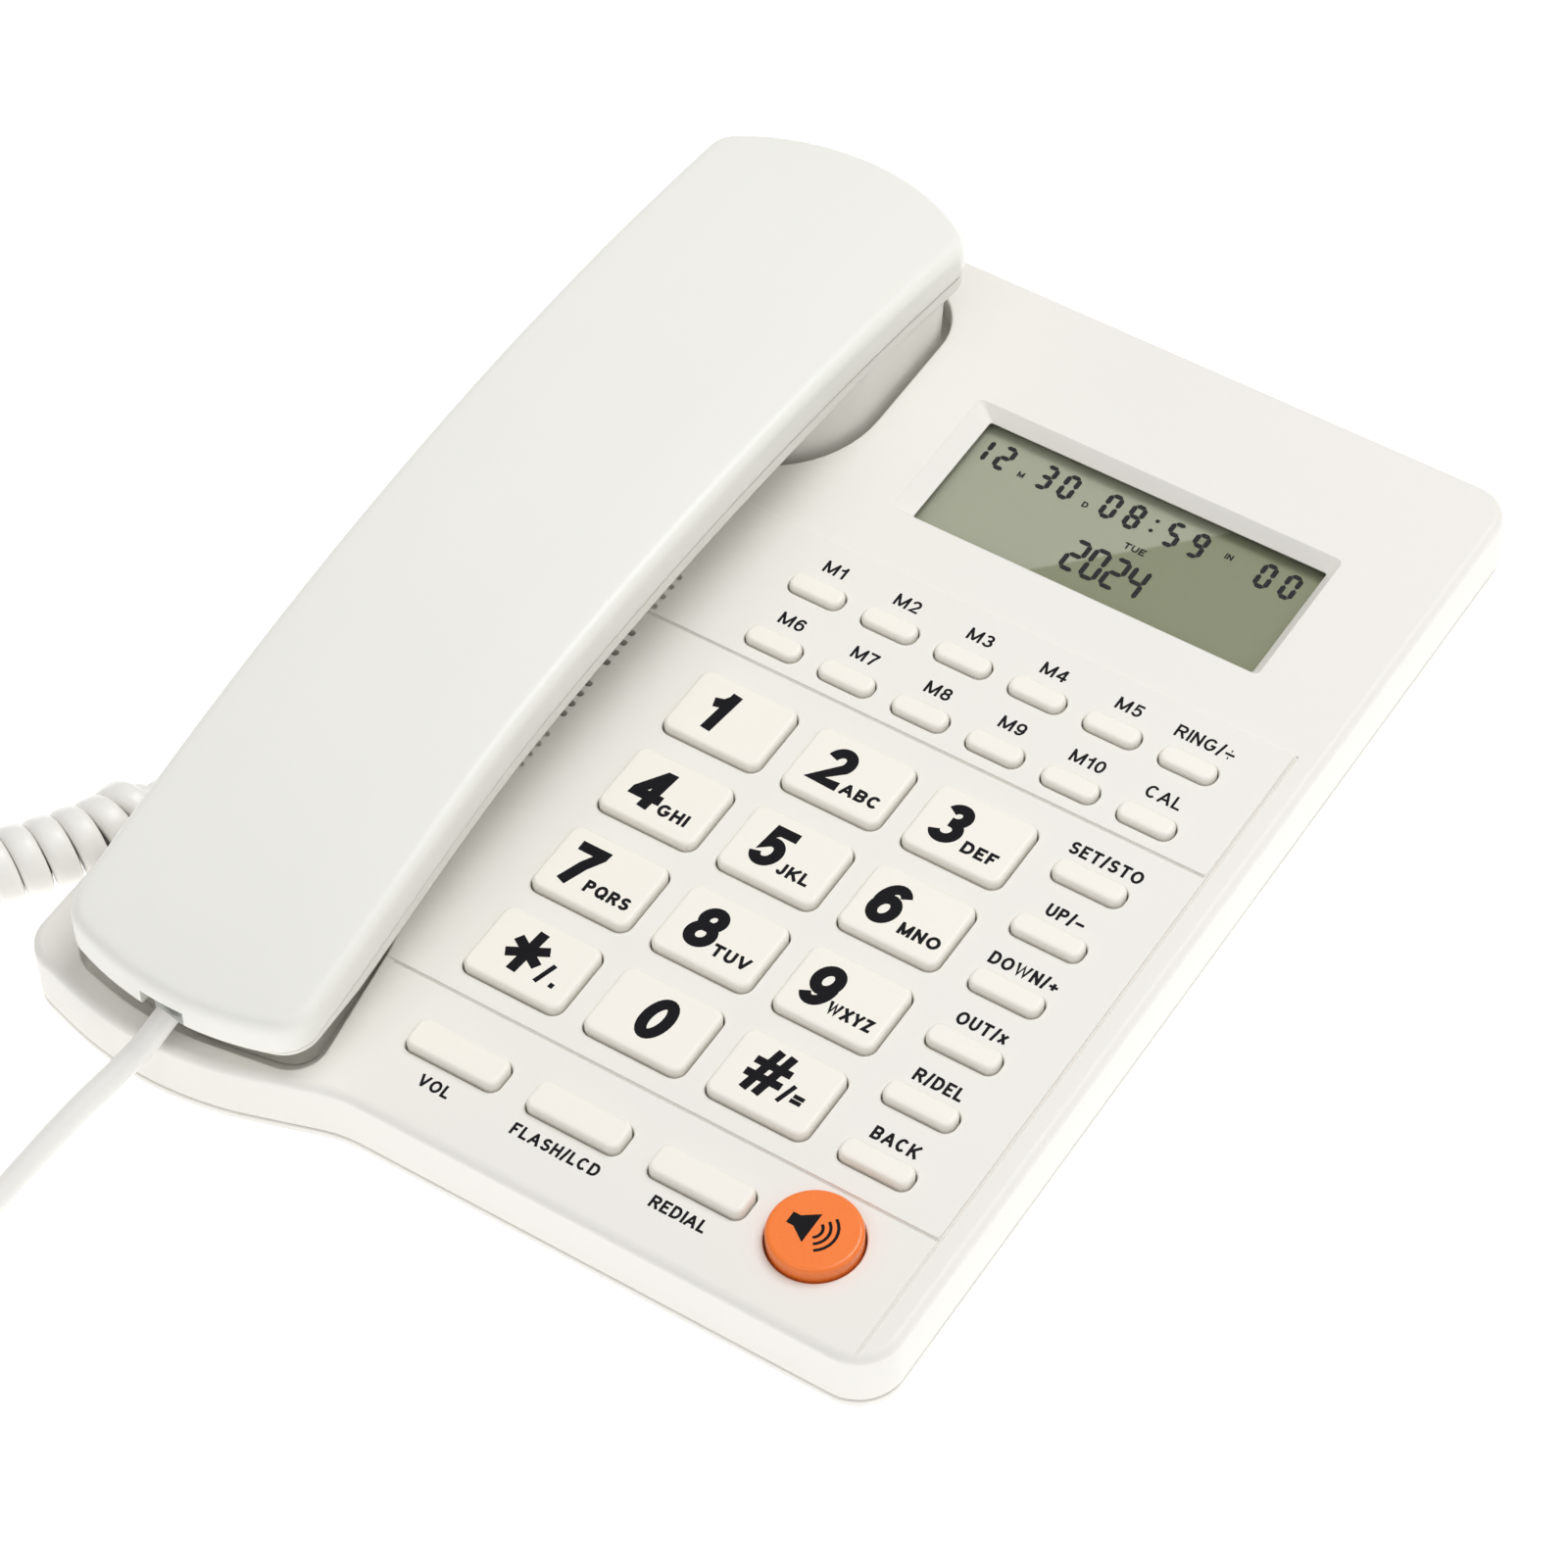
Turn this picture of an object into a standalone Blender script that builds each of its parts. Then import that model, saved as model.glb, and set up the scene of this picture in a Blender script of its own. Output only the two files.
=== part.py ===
"""A corded desk telephone with large keys, built as separate pieces in the places where they work.

Lengths are millimetres in the panel's own frame: X to the right, Y to the rear, Z out of the key panel,
whose surface is Z = 0. One empty tilts that frame and stands it on its feet, at world Z = 0.
"""
import math

import bmesh
import bpy
from mathutils import Vector

MM = 0.001
GAP = 0.3  # kept between pieces that touch

# How the telephone stands
TILT = math.radians(4.5)
FRONT_FOOT_Y = -80.0
FRONT_FOOT_DROP = 16.0  # from the panel's surface down to the table, at the front feet
CENTRE_X = 16.25
CENTRE_Y = -11.666  # puts the middle of the telephone over the world origin

# The base, as corners (x, y, radius) of its outline
REAR_Y = 118.0
FRONT_Y = -88.3
RIGHT_X = 96.0
LEFT_X = -63.5
BASE_CORNERS = [
    (RIGHT_X, FRONT_Y, 8),
    (RIGHT_X, REAR_Y, 7),
    (LEFT_X, REAR_Y, 8),
    (LEFT_X, -90.5, 7),
    (-35, -98.5, 62),
    (-3, FRONT_Y, 25),
]
BASE_BOTTOM = -13.5
COVER_BOTTOM = -11.3
PANEL_THICK = 2.2
WALL = 2.0
FLOOR_TOP = -11.6

# The two wells that the handset's cups sit in
WELL_FLOOR = -6.0
WELL_WALL = 1.5
EAR_WELL = [(-59.0, 55, 22), (-6.6, 55, 22), (-6.6, 110, 12), (-59.0, 110, 12)]
MOUTH_WELL = [(-56.4, -48, 20), (-56.4, -88.2, 8), (-36, -92.6, 58), (-8.4, -88.2, 6), (-14.2, -48, 16)]

# Keys: size across X, size along Y
KEY_HEIGHT = 1.7
KEY_FLANGE = 0.8
MAIN_KEY = (18.6, 14.2)
MAIN_FIRST = (8.77, 6.6)
MAIN_PITCH = (23.0, 19.24)
MEMORY_KEY = (10.1, 4.0)
MEMORY_FIRST = (5.85, 37.9)
MEMORY_PITCH = (14.31, 13.5)
SIDE_KEY = (12.8, 4.2)
SIDE_FIRST = (76.0, 8.67)
SIDE_PITCH = 12.854
FRONT_KEY = (17.3, 5.9)
FRONT_FIRST = (9.25, -72.5)
FRONT_PITCH = 22.8
SPEAKER_KEY = (75.1, -72.0)
SPEAKER_KEY_RADIUS = 7.7
SPEAKER_KEY_HEIGHT = 2.6
MAIN_NAMES = ["1", "2", "3", "4", "5", "6", "7", "8", "9", "star", "0", "hash"]
MEMORY_NAMES = ["m1", "m2", "m3", "m4", "m5", "ring", "m6", "m7", "m8", "m9", "m10", "calculate"]
SIDE_NAMES = ["set", "up", "down", "out", "delete", "back"]
FRONT_NAMES = ["volume", "flash", "redial"]

# The display window: its edge on the panel, and its smaller edge at the glass
WINDOW_TOP = (5.9, 61.0, 77.4, 90.5)
WINDOW_GLASS = (9.4, 62.6, 75.6, 88.2)

# The loudspeaker and the slots over it
SPEAKER = (-31.0, 4.0)
SPEAKER_RADIUS = 14.0
SLOT = (31.4, 1.2)
SLOT_PITCH = 2.5
SLOT_GROUPS = (10.6, -2.3)

# The handset: a slab, arched along its length, with rounded ends
ARCH_RADIUS = 500.0
ARCH_TOP_Y = 15.0
SEAM = 19.0
BAND = 4.8
MOUTH_EDGE_Z = 6.3
MOUTH_FLARE = 1.8
HANDSET_FRONT = (-94.3, 60.0, 6.5)  # where the end's arc is furthest out, its radius, the corners' radius
HANDSET_REAR = (117.3, 38.0, 7.0)
EAR_CUP = [(-57.4, 56.2, 21), (-7.5, 56.2, 21), (-7.5, 108.6, 11), (-57.4, 108.6, 11)]
MOUTH_CUP = [(-52.9, -49, 18), (-52.9, -85.6, 8), (-34, -89.4, 52), (-10.8, -85.2, 6), (-15.0, -49, 15)]
CUP_BOTTOM = -5.7
NOTCH_X = -31.5

# The stand under the rear of the base
STAND = (-48.0, 62.0, 80.0, 102.0)
FOOT_THICK = 1.2
BATTERY_DOOR = (4.0, -30.0, 62.0, 10.0)

# The cords
CORD_RADIUS = 2.1
COIL_RADIUS = 6.5
BASE_JACK_Y = 75.0
BASE_JACK_Z = -19.4
HANDSET_PLUG_Z = 6.0
# Where each cord runs: (x, y) in the panel's frame and the height of its middle over the table
HANDSET_LEAD = [
    (-31.5, -93.0, None),
    (-31.65, -94.5, 20.4),
    (-32.3, -96.6, 18.5),
    (-33.4, -99.2, 16.2),
    (-35.1, -104.5, 13.6),
    (-36.6, -109.5, 11.5),
    (-37.8, -114.5, 9.5),
    (-38.8, -119.5, 7.5),
    (-39.8, -124.7, 5.4),
    (-40.8, -130.2, 3.4),
    (-42.4, -137.5, 2.3),
    (-45.2, -146.5, 2.7),
    (-48.3, -154.6, 5.2),
    (-50.1, -161.0, 6.6),
]
COIL_LINE = [
    (-50.4, -161.9, 6.6),
    (-51.5, -172.0, 6.6),
    (-55.5, -185.0, 6.6),
    (-65.0, -195.5, 6.6),
    (-79.0, -200.5, 6.6),
    (-95.0, -198.0, 6.6),
    (-108.0, -188.0, 6.6),
    (-115.5, -173.0, 6.6),
    (-117.0, -156.0, 6.6),
    (-114.5, -139.0, 6.6),
    (-108.5, -122.0, 6.6),
    (-100.0, -105.0, 6.6),
    (-91.0, -90.0, 6.6),
    (-81.4, -75.2, 6.6),
    (-75.2, -65.5, 6.6),
    (-71.6, -58.0, 6.6),
    (-70.4, -49.5, 6.6),
]
BASE_LEAD = [
    (-70.3, -48.7, 6.6),
    (-69.3, -42.0, 5.2),
    (-67.4, -33.0, 3.0),
    (-66.3, -22.0, 2.2),
    (-66.2, -5.0, 2.2),
    (-66.3, 12.0, 2.2),
    (-66.6, 30.0, 2.2),
    (-67.2, 45.0, 2.4),
    (-67.4, 57.0, 3.2),
    (-65.6, 67.0, 4.6),
    (-61.5, 73.6, 6.4),
    (-56.5, 75.0, 8.0),
    (-52.8, 75.0, None),
]


# Frames -------------------------------------------------------------------------------------------

LIFT = FRONT_FOOT_DROP * math.cos(TILT) - FRONT_FOOT_Y * math.sin(TILT)


def height(over_table, y):
    """The panel-frame Z of a point at that height over the table."""
    return (over_table - LIFT - y * math.sin(TILT)) / math.cos(TILT)


def clear_scene():
    for obj in list(bpy.data.objects):
        bpy.data.objects.remove(obj)


def make_frame():
    """The empty that holds every piece at the panel's tilt."""
    frame = bpy.data.objects.new("panel_frame", None)
    frame.location = (-CENTRE_X * MM, CENTRE_Y * MM, LIFT * MM)
    frame.rotation_euler = (TILT, 0, 0)
    bpy.context.collection.objects.link(frame)
    return frame


def material(name, colour, roughness, metallic=0.0, alpha=1.0):
    made = bpy.data.materials.get(name)
    if made is None:
        made = bpy.data.materials.new(name)
        made.use_nodes = True
        shader = made.node_tree.nodes["Principled BSDF"]
        shader.inputs["Base Color"].default_value = (*colour, 1.0)
        shader.inputs["Roughness"].default_value = roughness
        shader.inputs["Metallic"].default_value = metallic
        shader.inputs["Alpha"].default_value = alpha
    return made


def ivory():
    return material("ivory_plastic", (0.86, 0.85, 0.81), 0.45)


def key_plastic():
    return material("key_plastic", (0.89, 0.87, 0.81), 0.4)


def dark_plastic():
    return material("dark_plastic", (0.05, 0.05, 0.055), 0.5)


def rubber():
    return material("rubber", (0.6, 0.6, 0.58), 0.8)


def cord_plastic():
    return material("cord_plastic", (0.84, 0.83, 0.83), 0.4)


# Outlines -----------------------------------------------------------------------------------------


def rounded(corners, steps=3):
    """A closed outline through corners (x, y, radius), each drawn as an arc."""
    points = []
    for i, (x, y, radius) in enumerate(corners):
        here = Vector((x, y))
        before = (Vector(corners[i - 1][:2]) - here).normalized()
        after = (Vector(corners[(i + 1) % len(corners)][:2]) - here).normalized()
        half = before.angle(after) / 2
        if radius <= 0:
            points.append(here)
            continue
        centre = here + (before + after).normalized() * (radius / math.sin(half))
        start = here + before * (radius / math.tan(half)) - centre
        turn = (math.pi - 2 * half) * (1 if before.cross(after) < 0 else -1)
        for k in range(steps + 1):
            angle = turn * k / steps
            cos, sin = math.cos(angle), math.sin(angle)
            points.append(centre + Vector((start.x * cos - start.y * sin, start.x * sin + start.y * cos)))
    return points


def rectangle(x0, y0, x1, y1, radius=0.0, steps=1):
    return rounded([(x1, y0, radius), (x1, y1, radius), (x0, y1, radius), (x0, y0, radius)], steps)


def circle(x, y, radius, sides):
    turns = (2 * math.pi * i / sides for i in range(sides))
    return [Vector((x + radius * math.cos(a), y + radius * math.sin(a))) for a in turns]


def inset(outline, distance):
    """The outline, moved inwards along its normals; outwards where distance is negative."""
    area = sum(a.cross(b) for a, b in zip(outline, outline[1:] + outline[:1]))
    side = 1 if area > 0 else -1
    moved = []
    for i, point in enumerate(outline):
        before = (point - outline[i - 1]).normalized()
        after = (outline[(i + 1) % len(outline)] - point).normalized()
        across = (before + after).normalized()
        share = max(0.5, math.sqrt((1 + before.dot(after)) / 2))
        moved.append(point + Vector((-across.y, across.x)) * (side * distance / share))
    return moved


def arch(y):
    """How far the handset's slab drops below its crest at y."""
    return -((y - ARCH_TOP_Y) ** 2) / (2 * ARCH_RADIUS)


def flare(y):
    """How far the handset's right side swells out at its mouth end."""
    share = min(1.0, max(0.0, (-52 - y) / 26))
    return MOUTH_FLARE * share * share * (3 - 2 * share)


def handset_middle(y):
    return -32.5 + 0.005 * (100 - y) + flare(y) / 2


def handset_half_width(y):
    return 23.9 + 0.0184 * y + flare(y) / 2


def band_share(y):
    """The share left at y of the band below the seam. At the mouth end its lower edge runs level."""
    room = SEAM + arch(y) - MOUTH_EDGE_Z
    return max(0.1, min(1.0, room / BAND)) if y < 0 else 1.0


def handset_height(above, y, inside=False):
    """The Z of a ring of the handset at y: over the seam it follows the arch, under it the band too."""
    if inside:
        return above + arch(y) + BAND * (1 - band_share(y)) * max(0.0, (SEAM - above - 0.3) / 2.4)
    return SEAM + max(0.0, above - SEAM) + min(0.0, above - SEAM) * band_share(y) + arch(y)


def handset_end(end, towards, step_in):
    """One end of the handset's right half, from its middle to its side: an arc, then a rounded corner."""
    tip, radius, corner = end
    centre = tip + towards * radius
    radius -= step_in
    corner = max(corner - step_in, 1.0)
    corner_y = tip
    for _ in range(8):
        corner_x = handset_half_width(corner_y) - step_in - corner
        corner_y = centre - towards * math.sqrt((radius - corner) ** 2 - corner_x**2)
    last = math.asin(corner_x / (radius - corner))
    points = []
    for share in (0.2, 0.6, 1.0):
        angle = last * share
        points.append((radius * math.sin(angle), centre - towards * radius * math.cos(angle)))
    for share in (0.35, 0.7, 1.0):
        angle = last + (math.pi / 2 - last) * share
        points.append((corner_x + corner * math.sin(angle), corner_y - towards * corner * math.cos(angle)))
    return points


def handset_ring(above, step_in, inside=False):
    """The handset's outline at a height over its arch, stepped in from its edge. Its two sides mirror."""
    front = handset_end(HANDSET_FRONT, 1, step_in)
    rear = handset_end(HANDSET_REAR, -1, step_in)
    first, last = front[-1][1], rear[-1][1]
    side = [first + (last - first) * i / 10 for i in range(1, 10)]
    half = front + [(handset_half_width(y) - step_in, y) for y in side] + rear[::-1]
    right = [(handset_middle(y) + u, y, handset_height(above, y, inside)) for u, y in half]
    left = [(handset_middle(y) - u, y, handset_height(above, y, inside)) for u, y in half[::-1]]
    return right + left


# Solids -------------------------------------------------------------------------------------------


def level(outline, z):
    """The outline as 3-D points, at one height or at the height that z gives for each y."""
    return [(p[0], p[1], z(p[1]) if callable(z) else z) for p in outline]


def loft(rings, ladder=False):
    """A closed mesh through rings of equally many points. A ladder cap joins each point to its mirror."""
    mesh = bmesh.new()
    rows = [[mesh.verts.new(Vector(p) * MM) for p in ring] for ring in rings]
    count = len(rows[0])
    for low, high in zip(rows, rows[1:]):
        for i in range(count):
            j = (i + 1) % count
            mesh.faces.new((low[i], low[j], high[j], high[i]))
    for cap in (rows[0], rows[-1]):
        if not ladder:
            mesh.faces.new(cap)
            continue
        for i in range(count // 2 - 1):
            mesh.faces.new((cap[i], cap[i + 1], cap[count - 2 - i], cap[count - 1 - i]))
    bmesh.ops.recalc_face_normals(mesh, faces=mesh.faces[:])
    return mesh


def place(name, mesh, look, frame, origin=(0, 0, 0), smooth=35):
    """An object in the panel's frame, with its own origin where its joint's axis passes."""
    data = bpy.data.meshes.new(name)
    bmesh.ops.translate(mesh, verts=mesh.verts[:], vec=-Vector(origin) * MM)
    mesh.to_mesh(data)
    mesh.free()
    data.shade_smooth()
    data.set_sharp_from_angle(angle=math.radians(smooth))
    data.materials.append(look)
    obj = bpy.data.objects.new(name, data)
    bpy.context.collection.objects.link(obj)
    obj.parent = frame
    obj.location = Vector(origin) * MM
    return obj


def prism(outline, low, high):
    return loft([level(outline, low), level(outline, high)])


def block(x0, y0, z0, x1, y1, z1):
    return prism(rectangle(x0, y0, x1, y1), z0, z1)


def merged(meshes):
    """One mesh with several separate bodies, for a cutter."""
    whole = bmesh.new()
    for mesh in meshes:
        data = bpy.data.meshes.new("part_of_cutter")
        mesh.to_mesh(data)
        mesh.free()
        whole.from_mesh(data)
        bpy.data.meshes.remove(data)
    return whole


def combine(obj, mesh, operation, frame):
    """Joins a hidden shape to obj, or cuts it out of obj."""
    tool = place(f"{obj.name}_{operation.lower()}_{len(obj.modifiers)}", mesh, ivory(), frame)
    tool.hide_render = True
    tool.display_type = "WIRE"
    modifier = obj.modifiers.new(operation.title(), "BOOLEAN")
    modifier.operation = operation
    modifier.solver = "EXACT"
    modifier.object = tool


# The base -----------------------------------------------------------------------------------------


def key_grid():
    """Every key but the round one: its name, middle and size."""
    keys = []
    for i, name in enumerate(MAIN_NAMES):
        spot = (MAIN_FIRST[0] + MAIN_PITCH[0] * (i % 3), MAIN_FIRST[1] - MAIN_PITCH[1] * (i // 3))
        keys.append((name, spot, MAIN_KEY))
    for i, name in enumerate(MEMORY_NAMES):
        spot = (MEMORY_FIRST[0] + MEMORY_PITCH[0] * (i % 6), MEMORY_FIRST[1] - MEMORY_PITCH[1] * (i // 6))
        keys.append((name, spot, MEMORY_KEY))
    for i, name in enumerate(SIDE_NAMES):
        keys.append((name, (SIDE_FIRST[0], SIDE_FIRST[1] - SIDE_PITCH * i), SIDE_KEY))
    for i, name in enumerate(FRONT_NAMES):
        keys.append((name, (FRONT_FIRST[0] + FRONT_PITCH * i, FRONT_FIRST[1]), FRONT_KEY))
    return keys


def key_outline(spot, size, grow=0.0):
    x, y = spot
    half_x, half_y = size[0] / 2 + grow, size[1] / 2 + grow
    return rectangle(x - half_x, y - half_y, x + half_x, y + half_y, 1.4 + max(grow, -0.9))


def add_top_cover(frame):
    """The upper shell: a panel with a skirt round it, and two wells let into it for the handset."""
    base = rounded(BASE_CORNERS, 4)
    rings = [
        level(inset(base, WALL), -PANEL_THICK),
        level(inset(base, WALL), COVER_BOTTOM),
        level(base, COVER_BOTTOM),
        level(base, -2.2),
        level(inset(base, 0.3), -0.8),
        level(inset(base, 1.6), 0),
    ]
    cover = place("top_cover", loft(rings), ivory(), frame)
    wells = (rounded(EAR_WELL, 4), rounded(MOUTH_WELL, 4))
    tubs = [prism(inset(well, -WELL_WALL), WELL_FLOOR - WELL_WALL, -1.0) for well in wells]
    combine(cover, merged(tubs), "UNION", frame)
    cuts = [prism(well, WELL_FLOOR, 4) for well in wells]
    cuts += [prism(key_outline(spot, size, GAP), -4, 4) for _, spot, size in key_grid()]
    cuts.append(prism(circle(*SPEAKER_KEY, SPEAKER_KEY_RADIUS + GAP, 20), -4, 4))
    slope = [inset(rectangle(*WINDOW_TOP), -0.4), rectangle(*WINDOW_TOP), rectangle(*WINDOW_GLASS)]
    cuts.append(loft([level(slope[0], 1.0), level(slope[1], 0.0), level(slope[2], -2.0), level(slope[2], -3.0)]))
    for middle in SLOT_GROUPS:
        for i in range(4):
            y = middle + (i - 1.5) * SLOT_PITCH
            x = SPEAKER[0]
            cuts.append(block(x - SLOT[0] / 2, y - SLOT[1] / 2, -4, x + SLOT[0] / 2, y + SLOT[1] / 2, 4))
    cuts.append(block(54.8, REAR_Y - 4, -10.4, 65.2, REAR_Y + 2, -3.2))
    combine(cover, merged(cuts), "DIFFERENCE", frame)
    combine(cover, block(-38.3, 65.2, WELL_FLOOR - 3, -27.7, 71.3, WELL_FLOOR + 1), "DIFFERENCE", frame)


def add_bottom_shell(frame):
    """The lower shell: a floor with a lip inside the skirt, and a hollow stand under its rear."""
    base = rounded(BASE_CORNERS, 4)
    rings = [
        level(inset(base, 4.0), FLOOR_TOP),
        level(inset(base, 4.0), -8.6),
        level(inset(base, WALL + GAP), -8.6),
        level(inset(base, WALL + GAP), FLOOR_TOP),
        level(base, FLOOR_TOP),
        level(base, -12.8),
        level(inset(base, 0.7), BASE_BOTTOM),
    ]
    shell = place("bottom_shell", loft(rings), ivory(), frame)
    x0, y0, x1, y1 = STAND
    outside = rectangle(x0, y0, x1, y1, 3, 2)
    stand = loft([level(outside, -12.4), level(outside, lambda y: height(FOOT_THICK + GAP, y))])
    combine(shell, stand, "UNION", frame)
    inside = inset(outside, 2.2)
    hollow = loft([level(inside, -10.0), level(inside, lambda y: height(FOOT_THICK + GAP + 2, y))])
    door = rectangle(*BATTERY_DOOR, 2)
    combine(shell, merged([hollow, prism(door, -15, -10)]), "DIFFERENCE", frame)
    jack_y, jack_z = BASE_JACK_Y, BASE_JACK_Z
    cuts = [block(x0 - 2, jack_y - 4.3, jack_z - 3.8, x0 + 4, jack_y + 4.3, jack_z + 3.8)]
    cuts.append(block(52, REAR_Y - 14, FLOOR_TOP + 0.1, 68, REAR_Y - 1, -4))
    combine(shell, merged(cuts), "DIFFERENCE", frame)
    cover = prism(inset(door, GAP), BASE_BOTTOM, -12.0)
    place("battery_door", cover, ivory(), frame)


def add_feet(frame):
    """Rubber feet, cut to the table's slope so that all four stand flat."""
    front, rear = FRONT_FOOT_Y, STAND[3] - 9
    feet = {
        "foot_front_left": (-42, front, 6, BASE_BOTTOM - GAP),
        "foot_front_right": (60, front, 6, BASE_BOTTOM - GAP),
        "foot_rear_left": (-38, rear, 5, None),
        "foot_rear_right": (70, rear, 5, None),
    }
    for name, (x, y, radius, top) in feet.items():
        outline = circle(x, y, radius, 16)
        upper = level(outline, top if top else (lambda at: height(FOOT_THICK, at)))
        shape = loft([level(inset(outline, 0.4), lambda at: height(0, at)), upper])
        place(name, shape, rubber(), frame)


def add_display(frame):
    """A clear window under the panel's opening, and the display module behind it."""
    window = rectangle(7.4, 60.6, 77.6, 90.2, 1)
    place("display_window", prism(window, -3.6, -2.5), material("clear_plastic", (0.9, 0.95, 0.9), 0.1, 0, 0.35), frame)
    module = rectangle(8.2, 61.2, 76.8, 89.6, 0.5)
    place("display_module", prism(module, -6.6, -3.9), material("display_grey", (0.36, 0.38, 0.29), 0.35), frame)


def add_electronics(frame):
    """The contact mat and circuit board under the keys, the loudspeaker, and the hook switch's plunger."""
    mat = rectangle(-2, -82, 88, 46, 3)
    place("contact_mat", prism(mat, -6.9, -5.6), rubber(), frame)
    board = rectangle(-6, -84, 90, 52, 1)
    place("main_board", prism(board, -8.8, -7.2), material("circuit_board", (0.05, 0.22, 0.1), 0.5), frame)
    x, y = SPEAKER
    cone = [(14.0, -3.0), (14.0, -5.0), (9.0, -9.6)]
    rings = [level(circle(x, y, radius, 20), z) for radius, z in cone]
    place("loudspeaker", loft(rings), dark_plastic(), frame)
    post = loft(
        [
            level(rectangle(-38, 65.5, -28, 71, 0.8), WELL_FLOOR - 5.3),
            level(rectangle(-38, 65.5, -28, 71, 0.8), WELL_FLOOR - 0.8),
            level(rectangle(-37.4, 66.1, -28.6, 70.4, 0.8), WELL_FLOOR - 0.05),
        ]
    )
    place("hook_plunger", post, ivory(), frame, origin=(-33, 68.25, WELL_FLOOR))


def add_socket(name, mouth, inwards, frame, size=(11.0, 12.5, 8.6), hole=(7.9, 6.9)):
    """A modular jack: a box with a rectangular hole in the face that looks away from inwards."""
    x, y, z = mouth
    wide, deep, tall = size
    rows = []
    for half_wide, half_tall, far in (
        (hole[0] / 2, hole[1] / 2, deep - 1.5),
        (hole[0] / 2, hole[1] / 2, 0),
        (wide / 2, tall / 2, 0),
        (wide / 2, tall / 2, deep),
    ):
        corners = ((-1, -1), (1, -1), (1, 1), (-1, 1))
        ring = []
        for across, up in corners:
            along = Vector(inwards) * far
            side = Vector((inwards[1], -inwards[0], 0)) * (across * half_wide)
            ring.append(Vector((x, y, z + up * half_tall)) + along + side)
        rows.append(ring)
    place(name, loft(rows), dark_plastic(), frame)


def add_keys(frame):
    """Each key is a cap with a flange under the panel that keeps it in."""
    for name, spot, size in key_grid():
        rings = [
            level(key_outline(spot, size, -0.7), KEY_HEIGHT),
            level(key_outline(spot, size), KEY_HEIGHT - 0.6),
            level(key_outline(spot, size), -2.6),
            level(key_outline(spot, size, KEY_FLANGE), -2.6),
            level(key_outline(spot, size, KEY_FLANGE), -3.6),
        ]
        place(f"key_{name}", loft(rings), key_plastic(), frame, origin=(*spot, 0))
    profile = [
        (SPEAKER_KEY_RADIUS - 0.8, SPEAKER_KEY_HEIGHT),
        (SPEAKER_KEY_RADIUS, SPEAKER_KEY_HEIGHT - 0.6),
        (SPEAKER_KEY_RADIUS, -2.6),
        (SPEAKER_KEY_RADIUS + KEY_FLANGE, -2.6),
        (SPEAKER_KEY_RADIUS + KEY_FLANGE, -3.6),
    ]
    rings = [level(circle(*SPEAKER_KEY, radius, 20), z) for radius, z in profile]
    orange = material("orange_plastic", (0.93, 0.22, 0.05), 0.35)
    place("key_speaker", loft(rings), orange, frame, origin=(*SPEAKER_KEY, 0))


# The handset --------------------------------------------------------------------------------------


def add_outer_shell(frame):
    """The handset's back: an arched slab with a soft crown, hollow from below."""
    inside = [(SEAM + 5.7, 13.0), (SEAM + 5.4, 6.0), (SEAM + 4.4, 2.5), (SEAM, 2.3)]
    outside = [(SEAM, 0.0), (SEAM + 5.0, 0.1), (SEAM + 6.2, 0.5), (SEAM + 6.9, 1.2)]
    outside += [(SEAM + 7.25, 2.6), (SEAM + 7.5, 7.5), (SEAM + 7.7, 13.0)]
    rings = [handset_ring(above, step_in) for above, step_in in inside + outside]
    shell = place("handset_outer_shell", loft(rings, ladder=True), ivory(), frame, smooth=50)
    notch = block(NOTCH_X - 4.2, -97, 2, NOTCH_X + 4.2, -90, 10.4)
    combine(shell, notch, "DIFFERENCE", frame)


def cup(corners, step_in, bottom, top):
    """One of the handset's two cups, narrower at the bottom, reaching up to the slab."""
    outline = rounded(corners, 4)
    return loft([level(inset(outline, step_in + 0.8), bottom), level(inset(outline, step_in), top)])


def add_inner_shell(frame):
    """The handset's front: a shallow tray along the arch, with a cup for the ear and one for the mouth."""
    inside = [(SEAM - 2.7, 12.0), (SEAM - 2.5, 8.0), (SEAM - 1.8, 3.4), (SEAM - GAP, 2.5)]
    outside = [(SEAM - GAP, 0.3), (SEAM - 2.6, 0.35), (SEAM - 3.9, 0.9), (SEAM - 4.5, 2.2), (SEAM - BAND, 12.0)]
    rings = [handset_ring(above, step_in, True) for above, step_in in inside]
    rings += [handset_ring(above, step_in) for above, step_in in outside]
    shell = place("handset_inner_shell", loft(rings, ladder=True), ivory(), frame, smooth=50)
    both = (EAR_CUP, MOUTH_CUP)
    cups = [cup(corners, 0, CUP_BOTTOM, lambda y: SEAM - 1.6 + arch(y)) for corners in both]
    combine(shell, merged(cups), "UNION", frame)
    hollows = [cup(corners, 2, CUP_BOTTOM + 1.8, lambda y: SEAM + 3 + arch(y)) for corners in both]
    combine(shell, merged(hollows), "DIFFERENCE", frame)
    combine(shell, block(NOTCH_X - 4.4, -97, 2.2, NOTCH_X + 4.4, -84, 12), "DIFFERENCE", frame)


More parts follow.
